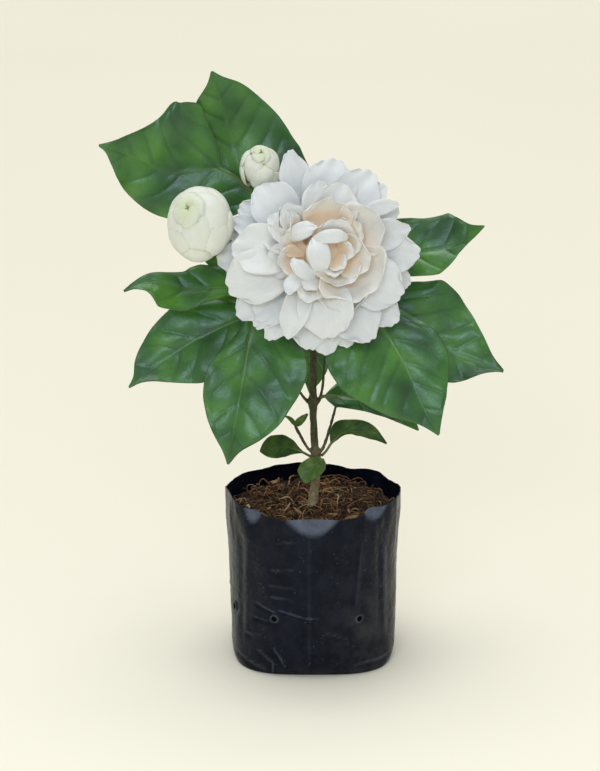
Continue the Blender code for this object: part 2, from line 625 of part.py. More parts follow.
# Tube along points with a radius at each, closed at both ends
def tube_object(points, radii, name, group, material, sides_step=2):
    curve = bpy.data.curves.new(name, "CURVE")
    curve.dimensions = "3D"
    curve.fill_mode = "FULL"
    curve.bevel_depth = MM
    curve.bevel_resolution = sides_step
    curve.use_fill_caps = True
    run = curve.splines.new("POLY")
    run.points.add(len(points) - 1)
    for spot, place, radius in zip(run.points, points, radii):
        spot.co = (place[0] * MM, place[1] * MM, place[2] * MM, 1.0)
        spot.radius = radius
    holder = bpy.data.objects.new(name + "_curve", curve)
    group.objects.link(holder)
    graph = bpy.context.evaluated_depsgraph_get()
    mesh = bpy.data.meshes.new_from_object(holder.evaluated_get(graph), depsgraph=graph)
    bpy.data.objects.remove(holder, do_unlink=True)
    bpy.data.curves.remove(curve)
    bm = bmesh.new()
    bm.from_mesh(mesh)
    bpy.data.meshes.remove(mesh)
    bmesh.ops.remove_doubles(bm, verts=bm.verts[:], dist=0.00001)
    bmesh.ops.triangulate(bm, faces=bm.faces[:])
    bmesh.ops.recalc_face_normals(bm, faces=bm.faces[:])
    return add_object(name, bm, group, material)


# A thin sheet mapped from a square grid, triangulated alike on both faces, then given its thickness
def sheet_object(surface, along, across, thick, name, group, material):
    bm = bmesh.new()
    bmesh.ops.create_grid(bm, x_segments=along, y_segments=across, size=1.0)
    u = np.array([(vertex.co.x + 1.0) / 2.0 for vertex in bm.verts])
    v = np.array([vertex.co.y for vertex in bm.verts])
    places = surface(u, v) * MM
    for vertex, place in zip(bm.verts, places):
        vertex.co = place
    bmesh.ops.triangulate(bm, faces=bm.faces[:], quad_method="SHORT_EDGE")
    item = add_object(name, bm, group, material)
    shell = item.modifiers.new("thickness", "SOLIDIFY")
    shell.thickness = thick * MM
    shell.offset = 0.0
    apply_modifiers(item)
    return item


# Leaf blade: a folded, waved sheet that follows its midrib
def leaf_surface(spec):
    def surface(u, v):
        step = spec.get("steady", CROSS_LINE_STEP)
        place = flowing_line(spec["midrib"], u)
        ahead = flowing_line(spec["midrib"], np.minimum(u + step, 1.0))
        behind = flowing_line(spec["midrib"], np.maximum(u - step, 0.0))
        tangent = unit(ahead - behind)
        face = np.array(spec["face"], float)
        side = unit(np.cross(tangent, np.broadcast_to(face, tangent.shape)))
        normal = np.cross(side, tangent)
        plus = steady_curve(*zip(*spec["clockwise"]), u)
        minus = steady_curve(*zip(*spec["other"]), u)
        width = np.where(v >= 0.0, plus, minus)
        reach = np.abs(v)
        fold = math.radians(spec["fold"])
        swell = np.sin(2.0 * math.pi * spec["waves"] * u + np.where(v >= 0.0, *WAVE_PHASES))
        fade = np.clip(width / WAVE_FULL_WIDTH, 0.0, 1.0)
        lift = width * reach * math.tan(fold) * (1.0 - BLADE_ARCH * reach)
        lift = lift + spec["wave"] * reach**2 * swell * fade
        return place + side * (v * width)[:, None] + normal * lift[:, None]
    return surface


def build_leaf(name, spec, group, material, stalk_radius):
    along, across = spec["grid"]
    blade = sheet_object(leaf_surface(spec), along, across, BLADE_THICK, name, group, material)
    if not spec["stalk"]:
        return blade
    inner = flowing_line(spec["midrib"], np.array(STALK_UNDER_BLADE))
    points = [tuple(spot) for spot in spec["stalk"]] + [tuple(spot) for spot in inner]
    radii = [stalk_radius] * (len(points) - 1) + [stalk_radius * STALK_TAPER]
    stalk = tube_object(points, radii, name + "_stalk", group, material, 1)
    return fuse(blade, [stalk], group, name)


# Petal: a cupped sheet from its foot to its rounded tip, in the bloom's own axes
def petal_outline(s):
    to_widest = np.clip(s / PETAL_WIDEST, 0.0, 1.0)
    rise = PETAL_FOOT_WIDTH + (1.0 - PETAL_FOOT_WIDTH) * np.sin(to_widest * math.pi / 2.0)
    to_tip = np.clip((s - PETAL_WIDEST) / PETAL_TIP_SPAN, 0.0, 1.0)
    return rise * np.sqrt(np.maximum(1.0 - to_tip**PETAL_TIP_FULLNESS, 0.0))


def petal_surface(entry, frame, seed):
    foot, tip, bulge, half_width, cup, roll = entry
    tip = np.array(tip, float)
    foot = np.array(foot, float)
    chord = tip - foot
    flat = np.array([chord[0], chord[1], 0.0])
    if np.linalg.norm(flat) < 0.35 * np.linalg.norm(chord):
        flat = np.array([tip[0] - 8.0, tip[1], 0.0])
    side = unit(np.cross(np.array([0.0, 0.0, 1.0]), flat))
    inside = unit(np.cross(chord, side))
    middle = (foot + tip) / 2.0 - inside * bulge
    line = (tuple(foot), tuple(middle), tuple(tip))
    half_cup = math.radians(cup)
    turn = math.radians(roll)
    ruffle = np.random.RandomState(seed).uniform(0.0, 2.0 * math.pi)

    def surface(u, v):
        u = 1.0 - (1.0 - u) ** PETAL_ROW_CROWDING
        pulled = u * (1.0 - PETAL_SHOULDER * v**2 * u**2)
        place = flowing_line(line, pulled)
        ahead = flowing_line(line, np.minimum(pulled + 0.01, 1.0))
        behind = flowing_line(line, np.maximum(pulled - 0.01, 0.0))
        tangent = unit(ahead - behind)
        across = unit(np.broadcast_to(side, tangent.shape))
        up = np.cross(tangent, across)
        twist = turn * u
        across_t = across * np.cos(twist)[:, None] + up * np.sin(twist)[:, None]
        up_t = up * np.cos(twist)[:, None] - across * np.sin(twist)[:, None]
        width = half_width * petal_outline(u)
        arc = half_cup * v
        reach = width * np.sin(arc) / half_cup
        lift = width * (1.0 - np.cos(arc)) / half_cup
        lift = lift + PETAL_RUFFLE * half_width * np.abs(v) ** 3 * np.sin(5.0 * u + 2.0 * v + ruffle)
        local = place + across_t * reach[:, None] + up_t * lift[:, None]
        return local @ frame[0] + frame[1]
    return surface


def bloom_frame():
    tilt = math.radians(BLOOM_TILT)
    right = (1.0, 0.0, 0.0)
    up = (0.0, math.sin(tilt), math.cos(tilt))
    out = (0.0, -math.cos(tilt), math.sin(tilt))
    return np.array([right, up, out]), np.array(BLOOM_CENTRE)


def ball(name, middle, radii, frame, group, material, rings=8):
    bm = bmesh.new()
    bmesh.ops.create_uvsphere(bm, u_segments=12, v_segments=rings, radius=1.0)
    for vertex in bm.verts:
        local = np.array(vertex.co) * np.array(radii) + np.array(middle)
        vertex.co = (local @ frame[0] + frame[1]) * MM
    bmesh.ops.triangulate(bm, faces=bm.faces[:])
    bmesh.ops.recalc_face_normals(bm, faces=bm.faces[:])
    return add_object(name, bm, group, material)


def build_bloom_petals(group, materials):
    frame = bloom_frame()
    material = materials["petal_white"]
    core = ball("bloom_petals", BLOOM_CORE[0], BLOOM_CORE[1], frame, group, material)
    extras = [ball("bloom_heart", BLOOM_HEART[0], BLOOM_HEART[1], frame, group, material)]
    for number, entry in enumerate(all_petals()):
        across = 4 if entry[3] > WIDE_PETAL or entry[4] > DEEP_PETAL else 3
        surface = petal_surface(entry, frame, number)
        label = "petal_" + str(number)
        extras.append(sheet_object(surface, 3, across, PETAL_THICK, label, group, material))
    return fuse(core, extras, group, "bloom_petals")


def all_petals():
    rows = []
    for reach, petals in ((BACK_FOOT, BACK_PETALS), (MIDDLE_FOOT, MIDDLE_PETALS)):
        for height, tip, bulge, half_width, cup, roll in petals:
            turn = math.atan2(tip[1], tip[0])
            foot = (reach * math.cos(turn), reach * math.sin(turn), height)
            rows.append((foot, tip, bulge, half_width, cup, roll))
    return rows + list(INNER_PETALS)


def needle(start, end, radius, name, group, material):
    middle = tuple((a + b) / 2.0 for a, b in zip(start, end))
    radii = (radius, radius * 0.75, radius * 0.45)
    return tube_object((start, middle, end), radii, name, group, material, 0)


def build_bloom_calyx(group, materials):
    matrix, centre = bloom_frame()
    material = materials["calyx_green"]
    points = [tuple(np.array(entry[:3]) @ matrix + centre) for entry in CALYX_TUBE]
    radii = [entry[3] for entry in CALYX_TUBE]
    points.append(BLOOM_STALK_END)
    radii.append(1.0)
    tube = tube_object(points, radii, "bloom_calyx", group, material)
    foot, tip, radius = BLOOM_SEPAL
    extras = []
    for number in range(SEPAL_COUNT):
        turn = 2.0 * math.pi * (number + 0.3) / SEPAL_COUNT
        start = around_axis(turn, foot[0], foot[1], matrix, centre)
        end = around_axis(turn, tip[0], tip[1], matrix, centre)
        extras.append(needle(start, end, radius, "sepal_" + str(number), group, material))
    return fuse(tube, extras, group, "bloom_calyx")


# Point at a distance from a flower's axis and a height along it
def around_axis(turn, reach, height, matrix, centre):
    return tuple(np.array([reach * math.cos(turn), reach * math.sin(turn), height]) @ matrix + centre)


# Bud: petals wrapped round a ball, each with one edge lifting a little over the next
def bud_frame(spec):
    out = unit(np.array(spec["axis"], float))
    right = unit(np.cross(np.array([0.0, 0.0, 1.0]), out))
    up = np.cross(out, right)
    stretch = np.array([1.0, 1.0, spec["stretch"]])
    return np.array([right, up, out]) * stretch, np.array(spec["middle"], float)


def bud_petal_surface(spec, number, frame):
    ring = spec["petals"] // 2
    inner = number >= ring
    place = number % ring
    wrap = INNER_WRAP if inner else OUTER_WRAP
    turn = math.radians(spec["spin"] + 360.0 * place / ring + (45.0 if inner else 0.0))
    rise = wrap["top"] + wrap["step"] * (place % 3) - WRAP_BOTTOM
    level = spec["radius"] - wrap["under"]

    def surface(u, v):
        latitude = np.radians(WRAP_BOTTOM + rise * u * (1.0 - 0.16 * np.abs(v) ** 2.2 * u))
        shape = 0.4 + 0.6 * np.sin(np.clip(u / 0.5, 0.0, 1.0) * math.pi / 2.0)
        shape = shape * np.sqrt(np.maximum(1.0 - np.clip((u - 0.6) / 0.46, 0.0, 1.0) ** 2.6, 0.0))
        narrowing = np.maximum(np.cos(latitude) * 0.85 + 0.15, 0.35)
        longitude = turn + math.radians(wrap["half"]) * v * shape / narrowing + wrap["turn"] * u**2
        sunk = wrap["foot"] * np.clip(1.0 - u / 0.25, 0.0, 1.0)
        sunk = sunk + wrap["tip"] * np.clip((u - 0.75) / 0.25, 0.0, 1.0)
        swell = level + wrap["lift"] * v * np.clip(u * 3.0, 0.0, 1.0) - sunk
        x = swell * np.cos(latitude) * np.cos(longitude)
        y = swell * np.cos(latitude) * np.sin(longitude)
        z = swell * np.sin(latitude)
        local = np.stack([x, y, z], axis=1)
        return local @ frame[0] + frame[1]
    return surface


def build_bud_petals(name, spec, group, materials):
    frame = bud_frame(spec)
    material = materials["bud_white"]
    heart = spec["radius"] - BUD_HEART_SINK
    core = ball(name, (0.0, 0.0, 0.0), (heart, heart, heart), frame, group, material, 7)
    extras = []
    for number in range(spec["petals"]):
        surface = bud_petal_surface(spec, number, frame)
        label = name + "_wrap_" + str(number)
        extras.append(sheet_object(surface, 4, 3, PETAL_THICK, label, group, material))
    return fuse(core, extras, group, name)


def build_bud_calyx(name, spec, stalk, group, materials):
    matrix, middle = bud_frame(spec)
    material = materials["calyx_green"]
    radius = spec["radius"]
    reach = radius - BUD_HEART_SINK + SEAT_GAP + 0.1
    first = around_axis(0.0, 0.0, -reach, matrix, middle)
    second = around_axis(0.0, 0.0, -reach - radius * 0.2, matrix, middle)
    points = [first, second] + [tuple(spot) for spot in stalk]
    radii = [radius * 0.2, radius * 0.17] + [1.0] * len(stalk)
    tube = tube_object(points, radii, name, group, material)
    extras = []
    for number in range(SEPAL_COUNT):
        turn = 2.0 * math.pi * (number + 0.25) / SEPAL_COUNT
        start = around_axis(turn, radius * 0.1, -reach - radius * 0.06, matrix, middle)
        end = around_axis(turn, radius * 0.62, -radius * 0.785 - 1.8, matrix, middle)
        label = name + "_sepal_" + str(number)
        extras.append(needle(start, end, BUD_SEPAL_RADIUS, label, group, material))
    return fuse(tube, extras, group, name)


# Outline of the bag at a height: half width, half depth and squareness drawn between the levels
def bag_radius(azimuth, height):
    heights = [level[0] for level in BAG_LEVELS]
    half_width = float(np.interp(height, heights, [level[1] for level in BAG_LEVELS]))
    half_depth = float(np.interp(height, heights, [level[2] for level in BAG_LEVELS]))
    power = float(np.interp(height, heights, [level[3] for level in BAG_LEVELS]))
    a = abs(math.cos(azimuth)) / half_width
    b = abs(math.sin(azimuth)) / half_depth
    return (a**power + b**power) ** (-1.0 / power)


def hump(azimuth, centre, spread):
    gap = (math.degrees(azimuth) - centre + 180.0) % 360.0 - 180.0
    return math.exp(-((gap / spread) ** 2))


def rim_rise(azimuth):
    return sum(rise * hump(azimuth, centre, spread) for centre, spread, rise in RIM_POINTS)


def fold_depth(azimuth, height):
    share = min(max((height - FILM_FOLD_LOW) / (BAG_LEVELS[-1][0] - FILM_FOLD_LOW), 0.0), 1.2)
    lean = sum(depth * hump(azimuth, centre, spread) for centre, spread, depth in RIM_FOLDS)
    return share**1.5 * lean


def bag_ring(height, top, inset):
    ring = []
    for step in range(BAG_SEGMENTS):
        azimuth = 2.0 * math.pi * step / BAG_SEGMENTS
        level = height + (rim_rise(azimuth) if top else 0.0)
        radius = bag_radius(azimuth, height) - fold_depth(azimuth, height) - inset
        ring.append((radius * math.cos(azimuth), radius * math.sin(azimuth), level))
    return ring


# Skin between rings of the same count, with a fan over each closed end
def loft(rings, close_first, close_last):
    bm = bmesh.new()
    rows = [[bm.verts.new((x * MM, y * MM, z * MM)) for x, y, z in ring] for ring in rings]
    count = len(rows[0])
    for low, high in zip(rows, rows[1:]):
        for i in range(count):
            j = (i + 1) % count
            bm.faces.new((low[i], low[j], high[j], high[i]))
    if close_first:
        bm.faces.new(list(reversed(rows[0])))
    if close_last:
        bm.faces.new(rows[-1])
    bmesh.ops.recalc_face_normals(bm, faces=bm.faces[:])
    return bm


def cutter_cylinder(name, radius, depth, matrix, group):
    bm = bmesh.new()
    size = {"radius1": radius * MM, "radius2": radius * MM, "depth": depth * MM}
    bmesh.ops.create_cone(bm, cap_ends=True, segments=12, matrix=matrix, **size)
    item = add_object(name, bm, group)
    item.hide_render = True
    item.display_type = "WIRE"
    return item


def cut_away(item, cutter):
    cut = item.modifiers.new("opening", "BOOLEAN")
    cut.operation = "DIFFERENCE"
    cut.object = cutter
    cut.solver = "MANIFOLD"
    apply_modifiers(item)


def build_bag(group, cutters, materials):
    rings = [bag_ring(level[0], level is BAG_LEVELS[-1], 0.0) for level in BAG_LEVELS]
    bag = add_object("grow_bag", loft(rings, True, False), group, materials["film"])
    shell = bag.modifiers.new("film", "SOLIDIFY")
    shell.thickness = BAG_WALL * MM
    shell.offset = -1.0
    shell.use_even_offset = True
    apply_modifiers(bag)
    for number, (degrees, height) in enumerate(DRAIN_HOLES):
        azimuth = math.radians(degrees)
        reach = bag_radius(azimuth, height) * MM
        place = Vector((reach * math.cos(azimuth), reach * math.sin(azimuth), height * MM))
        outward = Vector((math.cos(azimuth), math.sin(azimuth), 0.0))
        aim = Matrix.Translation(place) @ outward.to_track_quat("Z", "X").to_matrix().to_4x4()
        name = "drain_cutter_" + str(number)
        cut_away(bag, cutter_cylinder(name, DRAIN_RADIUS, DRAIN_CUT_DEPTH, aim, cutters))
    keep_main_shell(bag)
    smooth(bag, 50.0)
    return bag


def soil_height(x, y):
    wave = 0.5 * math.sin(0.31 * x + 0.8) * math.cos(0.27 * y - 0.4) + 0.35 * math.sin(0.62 * x - 0.5 * y)
    return SOIL_TOP + SOIL_RELIEF * wave


def build_soil(group, cutters, materials):
    rings = [bag_ring(BAG_WALL + SEAT_GAP, False, SOIL_INSET + 1.0)]
    rings += [bag_ring(level[0], False, SOIL_INSET) for level in BAG_LEVELS[1:-2]]
    for share, drop in SOIL_RINGS:
        edge = bag_ring(SOIL_EDGE_LEVEL, False, SOIL_INSET)
        flat = [(x * share, y * share) for x, y, _ in edge]
        rings.append([(x, y, soil_height(x, y) - drop) for x, y in flat])
    soil = add_object("growing_medium", loft(rings, True, True), group, materials["medium"])
    keep_main_shell(soil)
    soil = fuse(soil, build_fibres(group), group, "growing_medium")
    middle = Matrix.Translation(Vector((0.0, 0.0, (STEM_HOLE_FLOOR + STEM_HOLE_CUT / 2.0) * MM)))
    cut_away(soil, cutter_cylinder("stem_hole_cutter", STEM_HOLE_RADIUS, STEM_HOLE_CUT, middle, cutters))
    keep_main_shell(soil)
    soil.data.materials.clear()
    soil.data.materials.append(materials["medium"])
    return soil


def build_fibres(group):
    draw = random.Random(41)
    fibres = []
    for number in range(FIBRE_COUNT):
        turn = draw.uniform(0.0, 2.0 * math.pi)
        radius = FIBRE_FIELD * math.sqrt(draw.uniform(0.03, 0.95))
        x = radius * math.cos(turn)
        y = radius * math.sin(turn)
        heading = draw.uniform(0.0, math.pi)
        reach = draw.uniform(3.0, 6.0)
        bend = draw.uniform(-0.6, 0.6)
        points = []
        for share in (-1.0, 0.0, 1.0):
            px = x + reach * share * math.cos(heading + bend * share)
            py = y + reach * share * math.sin(heading + bend * share)
            scale = min(1.0, FIBRE_LIMIT / max(math.hypot(px, py), 0.001))
            px = px * scale
            py = py * scale
            points.append((px, py, soil_height(px, py) + (FIBRE_ARCH if share == 0.0 else 0.1)))
        thick = draw.uniform(0.5, 0.85)
        radii = (thick, thick, thick * 0.8)
        fibres.append(tube_object(points, radii, "fibre_" + str(number), group, None, 0))
    return fibres


def build_stem(group, materials):
    material = materials["bark"]
    trunk = tube_object([p[:3] for p in TRUNK], [p[3] for p in TRUNK], "main_stem", group, material)
    extras = []
    for number, branch in enumerate((BRANCH_LEFT, BRANCH_RIGHT, TWIG_LEFT, TWIG_RIGHT)):
        points = [p[:3] for p in branch]
        radii = [p[3] for p in branch]
        extras.append(tube_object(points, radii, "branch_" + str(number), group, material))
    stem = fuse(trunk, extras, group, "main_stem")
    smooth(stem, 60.0)
    return stem


def build_leaves(group, materials):
    for name, spec in LEAVES.items():
        stalk_radius = SMALL_STALK_RADIUS if name.startswith("leaf_small") else STALK_RADIUS
        material = materials["young_green" if name == "leaf_small_front" else "leaf_green"]
        smooth(build_leaf(name, spec, group, material, stalk_radius), 50.0)


def build_tiny_leaves(group, materials):
    blades = []
    material = materials["young_green"]
    for number, spec in enumerate(TINY_LEAVES):
        blades.append(build_leaf("tiny_" + str(number), spec, group, material, SMALL_STALK_RADIUS))
    pair = fuse(blades[0], blades[1:], group, "leaf_tiny_pair")
    smooth(pair, 50.0)


def main():
    clear_scene()
    group = new_collection("potted_arabian_jasmine")
    cutters = new_collection("cutters")
    materials = {name: make_material(name) for name in COLOURS}
    build_bag(group, cutters, materials)
    build_soil(group, cutters, materials)
    build_stem(group, materials)
    build_leaves(group, materials)
    build_tiny_leaves(group, materials)
    smooth(build_bloom_petals(group, materials), 40.0)
    smooth(build_bloom_calyx(group, materials), 50.0)
    smooth(build_bud_petals("bud_large_petals", BUD_LARGE, group, materials), 40.0)
    smooth(build_bud_petals("bud_small_petals", BUD_SMALL, group, materials), 40.0)
    smooth(build_bud_calyx("bud_large_calyx", BUD_LARGE, BUD_LARGE_STALK, group, materials), 50.0)
    smooth(build_bud_calyx("bud_small_calyx", BUD_SMALL, BUD_SMALL_STALK, group, materials), 50.0)


main()
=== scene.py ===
import math
import random

import bmesh
import bpy
import numpy as np
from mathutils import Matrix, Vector, noise
from mathutils.bvhtree import BVHTree


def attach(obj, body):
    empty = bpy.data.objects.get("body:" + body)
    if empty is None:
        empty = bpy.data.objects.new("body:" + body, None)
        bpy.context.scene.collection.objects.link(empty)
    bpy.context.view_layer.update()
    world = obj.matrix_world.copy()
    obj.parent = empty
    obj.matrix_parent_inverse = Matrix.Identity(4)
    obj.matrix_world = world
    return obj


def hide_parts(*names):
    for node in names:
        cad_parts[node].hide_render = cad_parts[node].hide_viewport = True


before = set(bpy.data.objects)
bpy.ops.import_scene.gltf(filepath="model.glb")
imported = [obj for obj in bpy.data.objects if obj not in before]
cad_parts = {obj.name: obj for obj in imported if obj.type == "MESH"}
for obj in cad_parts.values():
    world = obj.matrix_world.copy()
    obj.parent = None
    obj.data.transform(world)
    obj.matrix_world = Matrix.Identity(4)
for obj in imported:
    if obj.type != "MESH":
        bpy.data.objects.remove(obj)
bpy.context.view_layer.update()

# Real sizes in millimetres unless said otherwise, in the same frame as the part
MM = 0.001
QUARTER_TURN = math.pi / 2.0
SEAT_GAP = 0.3

# Grow bag: height, half width and half depth of its outside, and how square its plan is
BAG_LEVELS = (
    (0.0, 37.3, 33.0, 3.3),
    (2.5, 38.6, 34.6, 3.0),
    (8.0, 39.3, 36.4, 2.7),
    (18.0, 39.6, 38.0, 2.35),
    (32.0, 39.8, 39.2, 2.15),
    (50.0, 40.2, 39.8, 2.05),
    (72.0, 41.3, 40.8, 2.0),
    (80.0, 41.7, 41.0, 2.0),
)
# Its wall and top, where the rim starts to rise, rings and level of its base, and where folds start
BAG_WALL = 0.8
BAG_TOP = 80.0
RIM_START = 72.0
BASE_SHARES = (0.12, 0.35, 0.6, 0.8, 0.93)
BASE_LEVEL = 0.02
FILM_FOLD_LOW = 66.0
# Rim points that stand up: azimuth in degrees, half spread in degrees, rise
RIM_POINTS = (
    (-158, 17, 3.4), (-22, 15, 2.6), (-46, 8, 1.8), (180, 9, 1.4), (2, 9, 1.4), (62, 8, -1.4),
)
# Folds of the film under the rim: azimuth, half spread, how far the film leans in
RIM_FOLDS = (
    (-90, 26, 1.7), (-128, 12, 1.5), (-50, 14, 1.5), (-168, 10, 1.2), (60, 10, 1.4), (112, 20, 0.9),
)
# Drainage holes: azimuth in degrees and height
DRAIN_HOLES = ((-117, 30.0), (-58, 29.5), (-158, 27.5), (176, 33.0), (118, 30.0), (62, 29.0))

# Filling: level of its top, how far that rises and falls, level of its edge, gaps to the bag, and
# how high, how large and how fine its lumps and crumbs are, with their seeds
SOIL_TOP = 73.0
SOIL_RELIEF = 1.2
SOIL_EDGE_LEVEL = 71.0
SOIL_INSET = BAG_WALL + SEAT_GAP + 0.25
SOIL_SIDE_INSET = 0.4
SOIL_FOOT_INSET = 1.0
SOIL_LEVELS = (1.3, 6.0, 14.0, 26.0, 30.0, 38.0, 52.0, 64.0, 69.5)
SOIL_COLUMNS = 180
SOIL_DROP = 1.0
LUMPS = (1.7, 4.5, 3, 2.0)
CRUMBS = (0.7, 1.5, 2, 6.0)

# Woody parts: points as x, y, z and radius
TRUNK = (
    (0.0, 0.0, 40.3, 2.4), (-0.1, 0.0, 73.0, 2.5), (0.8, 0.0, 84.0, 2.1), (1.7, 0.0, 95.0, 1.9),
    (1.2, 0.0, 99.2, 2.6), (0.6, 0.0, 103.0, 1.8), (-0.1, 0.0, 119.0, 1.65), (-0.2, 0.0, 124.5, 2.4),
    (-0.2, 0.4, 129.0, 1.7), (0.0, 1.2, 149.0, 1.6), (0.2, 1.5, 154.0, 2.1), (0.6, 2.0, 159.0, 1.5),
    (0.8, 3.2, 180.0, 1.4), (0.4, 3.6, 184.0, 1.9), (-0.4, 3.8, 188.0, 1.4), (-2.0, 4.4, 203.0, 1.3),
    (-4.0, 5.4, 208.0, 1.6), (-11.0, 7.6, 213.0, 1.15), (-20.0, 10.4, 217.5, 1.2),
)
BRANCH_LEFT = (
    (0.2, 1.5, 153.5, 1.3), (-7.0, 1.4, 158.0, 1.15), (-13.0, -0.4, 166.0, 1.1), (-15.5, -1.6, 171.0, 1.3),
)
BRANCH_RIGHT = (
    (0.2, 1.5, 153.5, 1.3), (8.0, 1.0, 158.0, 1.15), (15.5, -0.8, 168.0, 1.1), (18.0, -2.0, 173.5, 1.3),
)
TWIG_LEFT = (
    (1.2, 0.0, 99.6, 0.9), (-1.9, -0.6, 101.0, 0.75), (-6.0, -2.6, 108.5, 0.65), (-8.4, -4.0, 114.0, 0.75),
)
TWIG_RIGHT = (
    (1.2, 0.0, 99.2, 0.9), (4.3, 0.6, 101.0, 0.8), (8.2, 2.6, 112.4, 0.7), (10.6, 4.6, 121.0, 0.6),
)

# Two thin leaf stalks at the upper node of the stem, left bare
STALK_LEFT = (
    (0.3, 0.2, 122.6, 1.0), (-2.3, -0.4, 124.6, 0.85), (-5.7, -1.6, 129.0, 0.65), (-8.8, -2.6, 133.6, 0.55),
)
STALK_RIGHT = (
    (0.0, 0.2, 122.4, 1.0), (2.6, 0.0, 125.4, 0.85), (4.0, 0.2, 130.5, 0.65), (4.9, 0.6, 139.5, 0.55),
    (5.2, 0.8, 149.0, 0.5), (4.9, 0.8, 157.5, 0.5),
)
# Points along each woody part, sides of its tube, and what melts them into one skin of bark
STEM_PARTS = (
    (TRUNK, 150), (BRANCH_LEFT, 40), (BRANCH_RIGHT, 40), (TWIG_LEFT, 34), (TWIG_RIGHT, 36),
    (STALK_LEFT, 26), (STALK_RIGHT, 44),
)
STEM_SIDES = 20
STEM_VOXEL = 0.41
BARK_RIDGE = 0.16
BARK_KNOT = 0.18
BARK_RIDGE_SIZE = 0.9
BARK_KNOT_SIZE = 3.2
BARK_STRETCH = 0.22

